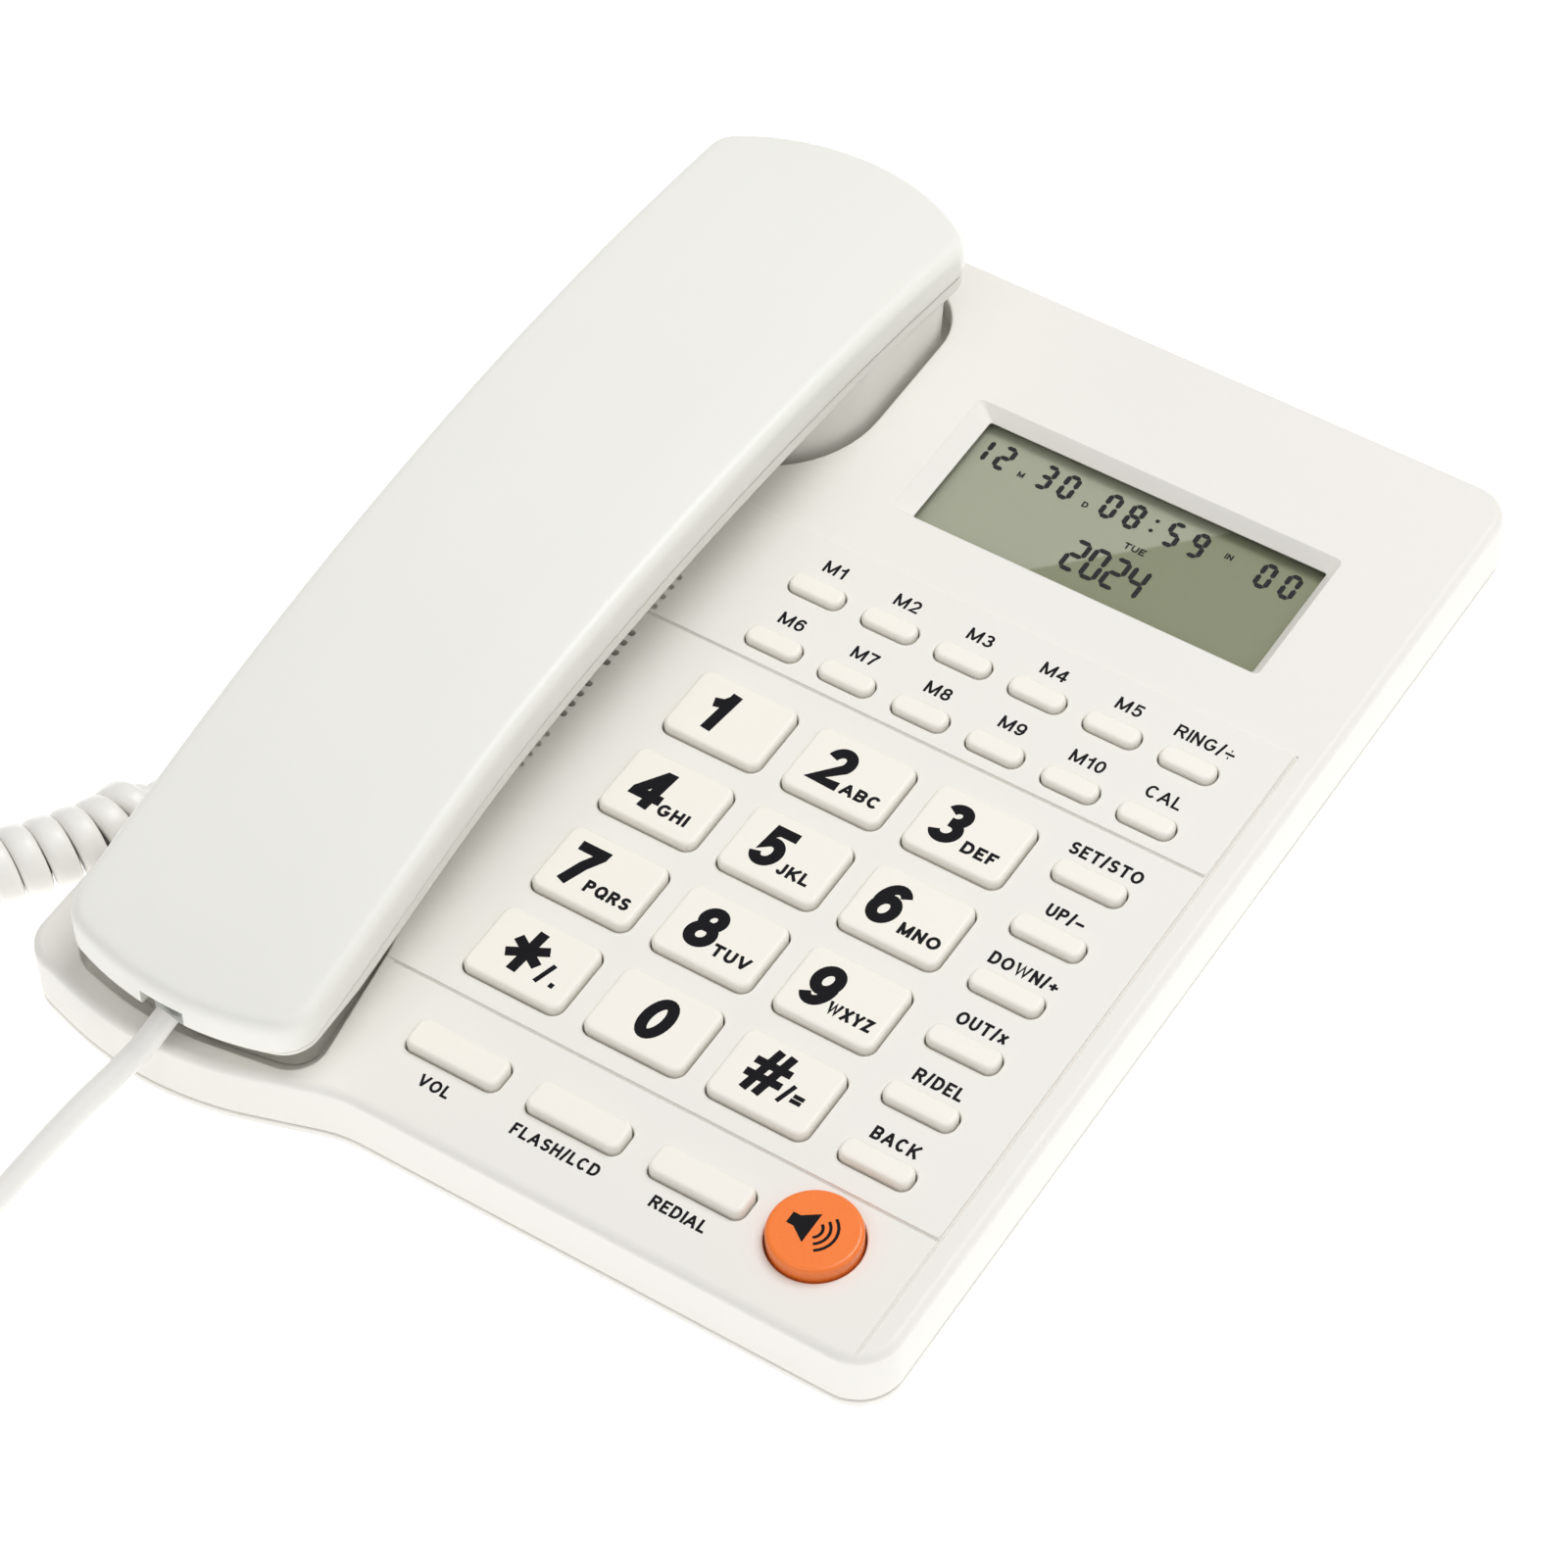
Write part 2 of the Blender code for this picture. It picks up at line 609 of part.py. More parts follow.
def add_handset_parts(frame):
    """What the handset holds: the two capsules, a weight, and the jack for its cord."""
    ear = [(9.0, -3.2), (13.0, -2.0), (13.0, 2.5), (10.0, 4.5)]
    rings = [level(circle(-33, 82, radius, 20), z) for radius, z in ear]
    place("receiver_capsule", loft(rings), dark_plastic(), frame)
    microphone = [(5.0, -3.4), (5.0, 1.6), (4.2, 2.4)]
    rings = [level(circle(-32, -64, radius, 16), z) for radius, z in microphone]
    place("microphone_capsule", loft(rings), material("can_metal", (0.6, 0.6, 0.62), 0.3, 1.0), frame)
    steel = material("weight_steel", (0.4, 0.4, 0.42), 0.45, 1.0)
    place("handset_weight", block(-39, -18, 16.7, -26, 30, 22.3), steel, frame)
    add_socket("handset_cord_jack", (NOTCH_X, -85.0, HANDSET_PLUG_Z), (0, 1, 0), frame)


# The cords ----------------------------------------------------------------------------------------


def along(points, level_at_none):
    """The hand-placed points as vectors, with each height over the table turned into the panel's Z."""
    return [Vector((x, y, level_at_none if h is None else height(h, y))) for x, y, h in points]


def smooth_line(points, spacing):
    """Points at that spacing along a Catmull-Rom curve through the given ones."""
    dense = []
    ends = [points[0] * 2 - points[1], *points, points[-1] * 2 - points[-2]]
    for a, b, c, d in zip(ends, ends[1:], ends[2:], ends[3:]):
        for k in range(16):
            t = k / 16
            dense.append(
                0.5 * (2 * b + (c - a) * t + (2 * a - 5 * b + 4 * c - d) * t**2 + (3 * b - a - 3 * c + d) * t**3)
            )
    dense.append(points[-1])
    length = sum((q - p).length for p, q in zip(dense, dense[1:]))
    count = max(2, round(length / spacing))
    picked, walked, at = [dense[0]], 0.0, 1
    for p, q in zip(dense, dense[1:]):
        step = (q - p).length
        while at < count and walked + step >= at * length / count:
            picked.append(p.lerp(q, (at * length / count - walked) / step))
            at += 1
        walked += step
    return picked + [dense[-1]]


def add_tube(name, line, radius, resolution, frame):
    """A round tube with filled ends along a line."""
    curve = bpy.data.curves.new(name, "CURVE")
    curve.dimensions = "3D"
    curve.bevel_depth = radius * MM
    curve.bevel_resolution = resolution
    curve.use_fill_caps = True
    curve.materials.append(cord_plastic())
    spline = curve.splines.new("POLY")
    spline.points.add(len(line) - 1)
    for point, place_at in zip(spline.points, line):
        point.co = (*(place_at * MM), 1.0)
    obj = bpy.data.objects.new(name, curve)
    bpy.context.collection.objects.link(obj)
    obj.parent = frame


def add_cords(frame):
    """The handset's cord: a straight lead, the coiled stretch as its outer shape, and the lead to the base."""
    add_tube("handset_lead", smooth_line(along(HANDSET_LEAD, HANDSET_PLUG_Z), 6.0), CORD_RADIUS, 2, frame)
    add_tube("coiled_cord", smooth_line(along(COIL_LINE, 0), 9.0), COIL_RADIUS, 3, frame)
    add_tube("base_lead", smooth_line(along(BASE_LEAD, BASE_JACK_Z), 6.0), CORD_RADIUS, 2, frame)
    front = HANDSET_LEAD[0][1] + 4 * GAP
    low, high = HANDSET_PLUG_Z - 3.1, HANDSET_PLUG_Z + 3.1
    plug = block(NOTCH_X - 3.6, front, low, NOTCH_X + 3.6, front + 13, high)
    place("handset_plug", plug, material("clear_nylon", (0.8, 0.82, 0.8), 0.2), frame)
    tail = BASE_LEAD[-1][0] + 2 * GAP
    low, high = BASE_JACK_Z - 3.1, BASE_JACK_Z + 3.1
    plug = block(tail, BASE_JACK_Y - 3.6, low, tail + 13, BASE_JACK_Y + 3.6, high)
    place("base_plug", plug, material("clear_nylon", (0.8, 0.82, 0.8), 0.2), frame)


clear_scene()
panel = make_frame()
add_top_cover(panel)
add_bottom_shell(panel)
add_feet(panel)
add_display(panel)
add_electronics(panel)
add_socket("line_jack", (60, REAR_Y - WALL - GAP, -6.8), (0, -1, 0), panel)
add_socket("base_cord_jack", (STAND[0] + 2.2 + GAP, BASE_JACK_Y, BASE_JACK_Z), (1, 0, 0), panel)
add_keys(panel)
add_outer_shell(panel)
add_inner_shell(panel)
add_handset_parts(panel)
add_cords(panel)
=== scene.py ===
"""The looks of a corded desk telephone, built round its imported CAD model.

Lengths are millimetres in the key panel's own frame: X to the right, Y to the rear, Z out of the panel,
whose surface is Z = 0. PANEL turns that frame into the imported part's own, in metres.
"""
import math

import bmesh
import bpy
from mathutils import Matrix, Vector


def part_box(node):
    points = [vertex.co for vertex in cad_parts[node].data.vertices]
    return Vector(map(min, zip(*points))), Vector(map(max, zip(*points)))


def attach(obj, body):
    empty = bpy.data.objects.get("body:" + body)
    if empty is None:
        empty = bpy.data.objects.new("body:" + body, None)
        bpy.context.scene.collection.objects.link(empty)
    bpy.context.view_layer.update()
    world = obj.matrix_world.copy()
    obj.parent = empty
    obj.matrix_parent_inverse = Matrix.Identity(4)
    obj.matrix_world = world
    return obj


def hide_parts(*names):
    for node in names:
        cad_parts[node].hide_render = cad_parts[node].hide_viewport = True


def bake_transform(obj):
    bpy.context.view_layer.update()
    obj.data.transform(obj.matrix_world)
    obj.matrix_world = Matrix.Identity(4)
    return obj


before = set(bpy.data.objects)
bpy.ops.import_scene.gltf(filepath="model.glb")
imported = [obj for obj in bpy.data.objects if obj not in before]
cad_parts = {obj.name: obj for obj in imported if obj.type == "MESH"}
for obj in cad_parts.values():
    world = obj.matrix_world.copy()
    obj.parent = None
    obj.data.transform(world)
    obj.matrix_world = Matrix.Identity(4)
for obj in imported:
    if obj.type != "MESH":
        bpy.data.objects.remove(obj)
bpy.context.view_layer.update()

# How the panel stands over the table
TILT = math.radians(4.5)
CENTRE_X = 16.25
CENTRE_Y = -11.666
LIFT = 16.0 * math.cos(TILT) + 80.0 * math.sin(TILT)
PANEL = (
    Matrix.Translation((-CENTRE_X / 1000, CENTRE_Y / 1000, LIFT / 1000))
    @ Matrix.Rotation(TILT, 4, "X")
    @ Matrix.Scale(0.001, 4)
)

# The camera, in the panel's frame: where it stands, and its own right and down directions
CAMERA_PLACE = (328.2, -450.1, 676.8)
CAMERA_RIGHT = (0.8423, 0.5386, -0.0211)
CAMERA_DOWN = (0.4088, -0.6638, -0.6263)
CAMERA_LENS = 122.3

# The studio: each light's place, size and power
LIGHTS = {
    "key_light": ((0.2, 0.55, 1.25), 0.8, 8.8),
    "fill_light": ((0.6, -0.1, 1.2), 1.0, 2.4),
    "front_light": ((-0.15, -0.8, 1.1), 1.0, 2.4),
}
SKY_STRENGTH = 0.42
FLOOR_GLOW = 0.6
FLOOR_HALF = 4.0

# The base, as corners (x, y, radius) of its outline
REAR_Y = 118.0
FRONT_Y = -88.3
RIGHT_X = 96.0
LEFT_X = -63.5
BASE_CORNERS = [
    (RIGHT_X, FRONT_Y, 8),
    (RIGHT_X, REAR_Y, 7),
    (LEFT_X, REAR_Y, 8),
    (LEFT_X, -90.5, 7),
    (-35, -98.5, 62),
    (-3, FRONT_Y, 25),
]
PANEL_THICK = 2.2
WALL = 2.0
COVER_BOTTOM = -11.3
FLOOR_TOP = -11.6
BASE_BOTTOM = -13.5
WELL_FLOOR = -6.0
EAR_WELL = [(-59.0, 55, 22), (-6.6, 55, 22), (-6.6, 110, 12), (-59.0, 110, 12)]
MOUTH_WELL = [(-56.4, -48, 20), (-56.4, -88.2, 8), (-36, -92.6, 58), (-8.4, -88.2, 6), (-14.2, -48, 16)]
STAND = (-48.0, 62.0, 80.0, 102.0)
BATTERY_DOOR = (4.0, -30.0, 62.0, 10.0)
SCREW_PLACES = [(-52, -60), (82, -60), (-52, 52), (86, 52)]

# Two low steps moulded on the panel, one under the main keys and one on it under the memory keys
FIELD = [(91.3, -62.2), (91.3, 49.2), (-57.5, 49.2), (-57.5, -62.2)]
MEMORY_FIELD = [(91.1, 19.7), (91.1, 49.0), (-57.3, 49.0), (-57.3, 19.7)]
FIELD_STEP = 0.25
LINES = [
    ((91.45, 49.4), (91.45, -87.0), 0.0),
    ((91.3, -62.35), (-10.2, -62.35), 0.0),
    ((91.0, 19.55), (-57.0, 19.55), FIELD_STEP),
]

# Keys
GAP = 0.3
KEY_HEIGHT = 1.7
KEY_FLANGE = 0.8
MAIN = {"size": (18.6, 14.2), "corner": 1.9, "first": (8.77, 6.6), "pitch": (23.0, 19.24), "row": 3}
MEMORY = {"size": (10.1, 4.0), "corner": 1.7, "first": (5.85, 37.9), "pitch": (14.31, 13.5), "row": 6}
SIDE = {"size": (12.8, 4.2), "corner": 1.6, "first": (76.0, 8.67), "pitch": (0.0, 12.854), "row": 1}
FRONT = {"size": (17.3, 5.9), "corner": 1.6, "first": (9.25, -72.5), "pitch": (22.8, 0.0), "row": 3}
SPEAKER_KEY = (75.1, -72.0)
SPEAKER_KEY_RADIUS = 7.7
SPEAKER_KEY_HEIGHT = 2.6
PRINT = 0.04
MAIN_LABELS = {
    "1": ("1", ""),
    "2": ("2", "ABC"),
    "3": ("3", "DEF"),
    "4": ("4", "GHI"),
    "5": ("5", "JKL"),
    "6": ("6", "MNO"),
    "7": ("7", "PQRS"),
    "8": ("8", "TUV"),
    "9": ("9", "WXYZ"),
    "star": ("*", "/ ."),
    "0": ("0", ""),
    "hash": ("#", "/="),
}
DIGIT_SHIFT = {"0": 0.1, "3": -3.8, "6": -4.0, "7": -4.2, "9": -4.1}
MEMORY_NAMES = ("m1", "m2", "m3", "m4", "m5", "ring", "m6", "m7", "m8", "m9", "m10", "calculate")
MEMORY_LABELS = {name: name.upper() for name in MEMORY_NAMES} | {"ring": "RING/÷", "calculate": "CAL"}
SIDE_LABELS = {
    "set": "SET/STO",
    "up": "UP/−",
    "down": "DOWN/+",
    "out": "OUT/×",
    "delete": "R/DEL",
    "back": "BACK",
}
FRONT_LABELS = {"volume": "VOL", "flash": "FLASH/LCD", "redial": "REDIAL"}

# The display
WINDOW_TOP = (5.9, 61.0, 77.4, 90.5)
WINDOW_GLASS = (9.4, 62.6, 75.6, 88.2)
# The slanting border of a painted reflection on the display glass, which is lighter above and to the left of
# it
REFLECTION_SLOPE = -1.0
REFLECTION_EDGE = -0.0372
SEGMENTS = {
    "0": "abcdef",
    "1": "bc",
    "2": "abged",
    "3": "abgcd",
    "4": "fgbc",
    "5": "afgcd",
    "6": "afgedc",
    "7": "abc",
    "8": "abcdefg",
    "9": "abcdfg",
}

# The loudspeaker's slots: rows of through slots in the middle, shallow ones before and behind
SLOT_X = (-46.7, -15.3)
SLOT_WIDTH = 1.2
SLOT_PITCH = 2.5
THROUGH_SLOTS = (10.6, -2.3)
SHALLOW_SLOTS = (24.8, -14.9)

# The handset
ARCH_RADIUS = 500.0
ARCH_TOP_Y = 15.0
SEAM = 19.0
BAND = 4.8
MOUTH_EDGE_Z = 6.3
MOUTH_FLARE = 1.8
HANDSET_FRONT = (-94.3, 60.0, 6.5)
HANDSET_REAR = (117.3, 38.0, 7.0)
EAR_CUP = [(-57.4, 56.2, 21), (-7.5, 56.2, 21), (-7.5, 108.6, 11), (-57.4, 108.6, 11)]
MOUTH_CUP = [(-52.9, -49, 18), (-52.9, -85.6, 8), (-34, -89.4, 52), (-10.8, -85.2, 6), (-15.0, -49, 15)]
CUP_BOTTOM = -5.7
NOTCH_X = -31.5

# The cord: its wire, its coil, and where each stretch runs, as (x, y, height of its middle over the table)
WIRE_RADIUS = 2.1
COIL_RADIUS = 6.5
COIL_PITCH = 5.0
TURN_STEPS = 20
HANDSET_PLUG_Z = 6.0
BASE_JACK_Y = 75.0
BASE_JACK_Z = -19.4
HANDSET_LEAD = [
    (-31.5, -93.0, None),
    (-31.65, -94.5, 20.4),
    (-32.3, -96.6, 18.5),
    (-33.4, -99.2, 16.2),
    (-35.1, -104.5, 13.6),
    (-36.6, -109.5, 11.5),
    (-37.8, -114.5, 9.5),
    (-38.8, -119.5, 7.5),
    (-39.8, -124.7, 5.4),
    (-40.8, -130.2, 3.4),
    (-42.4, -137.5, 2.3),
    (-45.2, -146.5, 2.7),
    (-48.3, -154.6, 5.2),
    (-50.1, -161.0, 6.6),
]
COIL_HEIGHT = 6.6
COIL_PLAN = [
    (-50.4, -161.9), (-51.5, -172.0), (-55.5, -185.0), (-65.0, -195.5), (-79.0, -200.5),
    (-95.0, -198.0), (-108.0, -188.0), (-115.5, -173.0), (-117.0, -156.0), (-114.5, -139.0),
    (-108.5, -122.0), (-100.0, -105.0), (-91.0, -90.0), (-81.4, -75.2), (-75.2, -65.5),
    (-71.6, -58.0), (-70.4, -49.5),
]
BASE_LEAD = [
    (-70.3, -48.7, 6.6),
    (-69.3, -42.0, 5.2),
    (-67.4, -33.0, 3.0),
    (-66.3, -22.0, 2.2),
    (-66.2, -5.0, 2.2),
    (-66.3, 12.0, 2.2),
    (-66.6, 30.0, 2.2),
    (-67.2, 45.0, 2.4),
    (-67.4, 57.0, 3.2),
    (-65.6, 67.0, 4.6),
    (-61.5, 73.6, 6.4),
    (-56.5, 75.0, 8.0),
    (-52.8, 75.0, None),
]


# Materials ----------------------------------------------------------------------------------------


def shader_nodes(name, roughness):
    made = bpy.data.materials.new(name)
    made.use_nodes = True
    shader = made.node_tree.nodes["Principled BSDF"]
    shader.inputs["Roughness"].default_value = roughness
    return made, made.node_tree, shader


def noise(tree, scale, detail=2.0):
    """A noise texture over the object's own coordinates, in metres."""
    place = tree.nodes.new("ShaderNodeTexCoord")
    made = tree.nodes.new("ShaderNodeTexNoise")
    made.inputs["Scale"].default_value = scale
    made.inputs["Detail"].default_value = detail
    tree.links.new(place.outputs["Object"], made.inputs["Vector"])
    return made


def between(tree, factor, low, high):
    """A colour that runs from low to high as factor does from 0 to 1. Each is a colour or a node's output."""
    mix = tree.nodes.new("ShaderNodeMix")
    mix.data_type = "RGBA"
    for end, value in (("A", low), ("B", high)):
        if isinstance(value, bpy.types.NodeSocket):
            tree.links.new(value, mix.inputs[end])
        else:
            mix.inputs[end].default_value = (*value, 1)
    tree.links.new(factor, mix.inputs["Factor"])
    return mix.outputs["Result"]


def spread(tree, value, low, high, from_low=0.3, from_high=0.7):
    """A value mapped to run from low to high."""
    made = tree.nodes.new("ShaderNodeMapRange")
    made.inputs["From Min"].default_value = from_low
    made.inputs["From Max"].default_value = from_high
    made.inputs["To Min"].default_value = low
    made.inputs["To Max"].default_value = high
    tree.links.new(value, made.inputs["Value"])
    return made.outputs["Result"]


def moulded(name, colour, roughness, grain=1600.0, depth=0.00002, coat=0.0, gloss=0.4):
    """Moulded plastic: a fine spark-eroded grain, a faint drift of tone, and slightly polished edges."""
    made, tree, shader = shader_nodes(name, roughness)
    drift = noise(tree, 18.0)
    fine = noise(tree, grain, 3.0)
    shade = [c * 0.975 for c in colour]
    base = between(tree, drift.outputs["Fac"], shade, colour)
    geometry = tree.nodes.new("ShaderNodeNewGeometry")
    edge = spread(tree, geometry.outputs["Pointiness"], 0.0, 0.2, 0.52, 0.62)
    polished = [min(1.0, c * 1.04) for c in colour]
    tree.links.new(between(tree, edge, base, polished), shader.inputs["Base Color"])
    rough = spread(tree, fine.outputs["Fac"], roughness - 0.04, roughness + 0.05)
    tree.links.new(rough, shader.inputs["Roughness"])
    bump = tree.nodes.new("ShaderNodeBump")
    bump.inputs["Strength"].default_value = 0.35
    bump.inputs["Distance"].default_value = depth
    tree.links.new(fine.outputs["Fac"], bump.inputs["Height"])
    tree.links.new(bump.outputs["Normal"], shader.inputs["Normal"])
    shader.inputs["Coat Weight"].default_value = coat
    shader.inputs["Specular IOR Level"].default_value = gloss
    return made


def metal(name, colour, roughness, brushed=False):
    made, tree, shader = shader_nodes(name, roughness)
    fine = noise(tree, 900.0 if brushed else 300.0, 4.0)
    shade = between(tree, fine.outputs["Fac"], [c * 0.85 for c in colour], colour)
    rough = spread(tree, fine.outputs["Fac"], roughness * 0.7, roughness * 1.3)
    tree.links.new(shade, shader.inputs["Base Color"])
    tree.links.new(rough, shader.inputs["Roughness"])
    shader.inputs["Metallic"].default_value = 1.0
    return made


def clear(name, colour, roughness, alpha):
    """Clear plastic, as a thin see-through skin with a gloss."""
    made, tree, shader = shader_nodes(name, roughness)
    fine = noise(tree, 60.0)
    shade = between(tree, fine.outputs["Fac"], [c * 0.97 for c in colour], colour)
    rough = spread(tree, fine.outputs["Fac"], roughness * 0.8, roughness * 1.2)
    tree.links.new(shade, shader.inputs["Base Color"])
    tree.links.new(rough, shader.inputs["Roughness"])
    shader.inputs["Alpha"].default_value = alpha
    shader.inputs["Specular IOR Level"].default_value = 0.5
    return made


IVORY = moulded("ivory_shell", (0.85, 0.83, 0.785), 0.42)
HANDSET_IVORY = moulded("ivory_handset", (0.865, 0.86, 0.81), 0.36)
# The handset's face: the same ivory as its back, made darker as painted shade for its band and cups, which
# lie in shadow under the handset
FACE_IVORY_PAINTED_SHADE = moulded("ivory_face_painted_shade", (0.83, 0.82, 0.76), 0.4)
KEY_CREAM = moulded("key_cream", (0.92, 0.885, 0.81), 0.38, 2200.0)
ORANGE = moulded("orange_key", (0.97, 0.215, 0.03), 0.3, 1500.0, 0.00001, 0.3)
INK = moulded("printed_ink", (0.006, 0.006, 0.008), 0.6, 3000.0, 0.000005, gloss=0.12)
BLACK = moulded("black_plastic", (0.02, 0.02, 0.022), 0.45)
RUBBER = moulded("foot_rubber", (0.32, 0.32, 0.3), 0.8, 1200.0, 0.00005)
VINYL = moulded("cord_vinyl", (0.87, 0.857, 0.82), 0.34, 700.0, 0.00001, 0.15)
BOARD = moulded("board_lacquer", (0.02, 0.12, 0.05), 0.35, 800.0, 0.00002, 0.4)
STEEL = metal("screw_steel", (0.62, 0.62, 0.64), 0.32, True)
GOLD = metal("contact_gold", (0.9, 0.65, 0.25), 0.2)
CAN = metal("capsule_can", (0.66, 0.66, 0.68), 0.3)
NYLON = clear("plug_nylon", (0.8, 0.83, 0.82), 0.15, 0.55)
WINDOW = clear("display_cover", (0.9, 0.93, 0.9), 0.06, 0.012)


# Outlines and solids ------------------------------------------------------------------------------


def height(over_table, y):
    """The panel-frame Z of a point at that height over the table."""
    return (over_table - LIFT - y * math.sin(TILT)) / math.cos(TILT)


def rounded(corners, steps=8):
    """A closed outline through corners (x, y, radius), each drawn as an arc."""
    points = []
    for i, (x, y, radius) in enumerate(corners):
        here = Vector((x, y))
        before = (Vector(corners[i - 1][:2]) - here).normalized()
        after = (Vector(corners[(i + 1) % len(corners)][:2]) - here).normalized()
        half = before.angle(after) / 2
        if radius <= 0:
            points.append(here)
            continue
        centre = here + (before + after).normalized() * (radius / math.sin(half))
        start = here + before * (radius / math.tan(half)) - centre
        turn = (math.pi - 2 * half) * (1 if before.cross(after) < 0 else -1)
        for k in range(steps + 1):
            angle = turn * k / steps
            cos, sin = math.cos(angle), math.sin(angle)
            points.append(centre + Vector((start.x * cos - start.y * sin, start.x * sin + start.y * cos)))
    return points


def rectangle(x0, y0, x1, y1, radius=0.0, steps=5):
    return rounded([(x1, y0, radius), (x1, y1, radius), (x0, y1, radius), (x0, y0, radius)], steps)


def circle(x, y, radius, sides=48):
    turns = (2 * math.pi * i / sides for i in range(sides))
    return [Vector((x + radius * math.cos(a), y + radius * math.sin(a))) for a in turns]


def inset(outline, distance):
    """The outline, moved inwards along its normals; outwards where distance is negative."""
    area = sum(a.cross(b) for a, b in zip(outline, outline[1:] + outline[:1]))
    side = 1 if area > 0 else -1
    moved = []
    for i, point in enumerate(outline):
        before = (point - outline[i - 1]).normalized()
        after = (outline[(i + 1) % len(outline)] - point).normalized()
        across = (before + after).normalized()
        share = max(0.5, math.sqrt((1 + before.dot(after)) / 2))
        moved.append(point + Vector((-across.y, across.x)) * (side * distance / share))
    return moved


def level(outline, z):
    """The outline as 3-D points, at one height or at the height that z gives for each y."""
    return [(p[0], p[1], z(p[1]) if callable(z) else z) for p in outline]


def loft(rings, ladder=False):
    """A closed mesh through rings of equally many points. A ladder cap joins each point to its mirror."""
    mesh = bmesh.new()
    rows = [[mesh.verts.new(Vector(p)) for p in ring] for ring in rings]
    count = len(rows[0])
    for low, high in zip(rows, rows[1:]):
        for i in range(count):
            j = (i + 1) % count
            mesh.faces.new((low[i], low[j], high[j], high[i]))
    for cap in (rows[0], rows[-1]):
        if not ladder:
            mesh.faces.new(cap)
            continue
        for i in range(count // 2 - 1):
            mesh.faces.new((cap[i], cap[i + 1], cap[count - 2 - i], cap[count - 1 - i]))
    bmesh.ops.recalc_face_normals(mesh, faces=mesh.faces[:])
    return mesh


def prism(outline, low, high):
    return loft([level(outline, low), level(outline, high)])


def block(x0, y0, z0, x1, y1, z1, radius=0.0):
    return prism(rectangle(x0, y0, x1, y1, radius, 3), z0, z1)


def pocket(outline, bottom, top=0.0, flare=0.3, steps=3):
    """A cutter for a hole whose mouth at the surface is rounded to the radius flare."""
    rings = [level(outline, bottom)]
    for k in range(steps + 1):
        angle = math.pi / 2 * k / steps
        out, up = flare * (1 - math.cos(angle)), flare * (math.sin(angle) - 1)
        rings.append(level(inset(outline, -out), top + up))
    rings.append(level(inset(outline, -flare), top + 3))
    return loft(rings)


def merged(meshes):
    """One mesh with several separate bodies."""
    whole = bmesh.new()
    for mesh in meshes:
        data = bpy.data.meshes.new("joined")
        mesh.to_mesh(data)
        mesh.free()
        whole.from_mesh(data)
        bpy.data.meshes.remove(data)
    return whole


def temporary(mesh):
    data = bpy.data.meshes.new("temporary")
    mesh.to_mesh(data)
    mesh.free()
    obj = bpy.data.objects.new("temporary", data)
    bpy.context.scene.collection.objects.link(obj)
    return obj


def combined(solid, tool, operation="DIFFERENCE", overlaps=False):
    """The solid with the tool cut out of it, or joined to it. The tool's own parts may overlap if so told."""
    made, cutter = temporary(solid), temporary(tool)
    modifier = made.modifiers.new("shape", "BOOLEAN")
    modifier.operation = operation
    modifier.solver = "EXACT"
    modifier.use_self = overlaps
    modifier.object = cutter
    shape = made.evaluated_get(bpy.context.evaluated_depsgraph_get())
    result = bmesh.new()
    result.from_mesh(shape.to_mesh())
    for obj in (made, cutter):
        data = obj.data
        bpy.data.objects.remove(obj)
        bpy.data.meshes.remove(data)
    return result


def piece(name, mesh, look, body, replaces=(), smooth=35):
    """A finished object from a mesh in the panel's millimetres, riding on a CAD body."""
    data = bpy.data.meshes.new(name)
    mesh.transform(PANEL)
    mesh.to_mesh(data)
    mesh.free()
    data.shade_smooth()
    data.set_sharp_from_angle(angle=math.radians(smooth))
    data.materials.append(look)
    obj = bpy.data.objects.new(name, data)
    bpy.context.scene.collection.objects.link(obj)
    normals = obj.modifiers.new("normals", "WEIGHTED_NORMAL")
    normals.keep_sharp = True
    if body:
        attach(obj, body)
    if replaces:
        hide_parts(*replaces)
    return obj


# Lettering ----------------------------------------------------------------------------------------

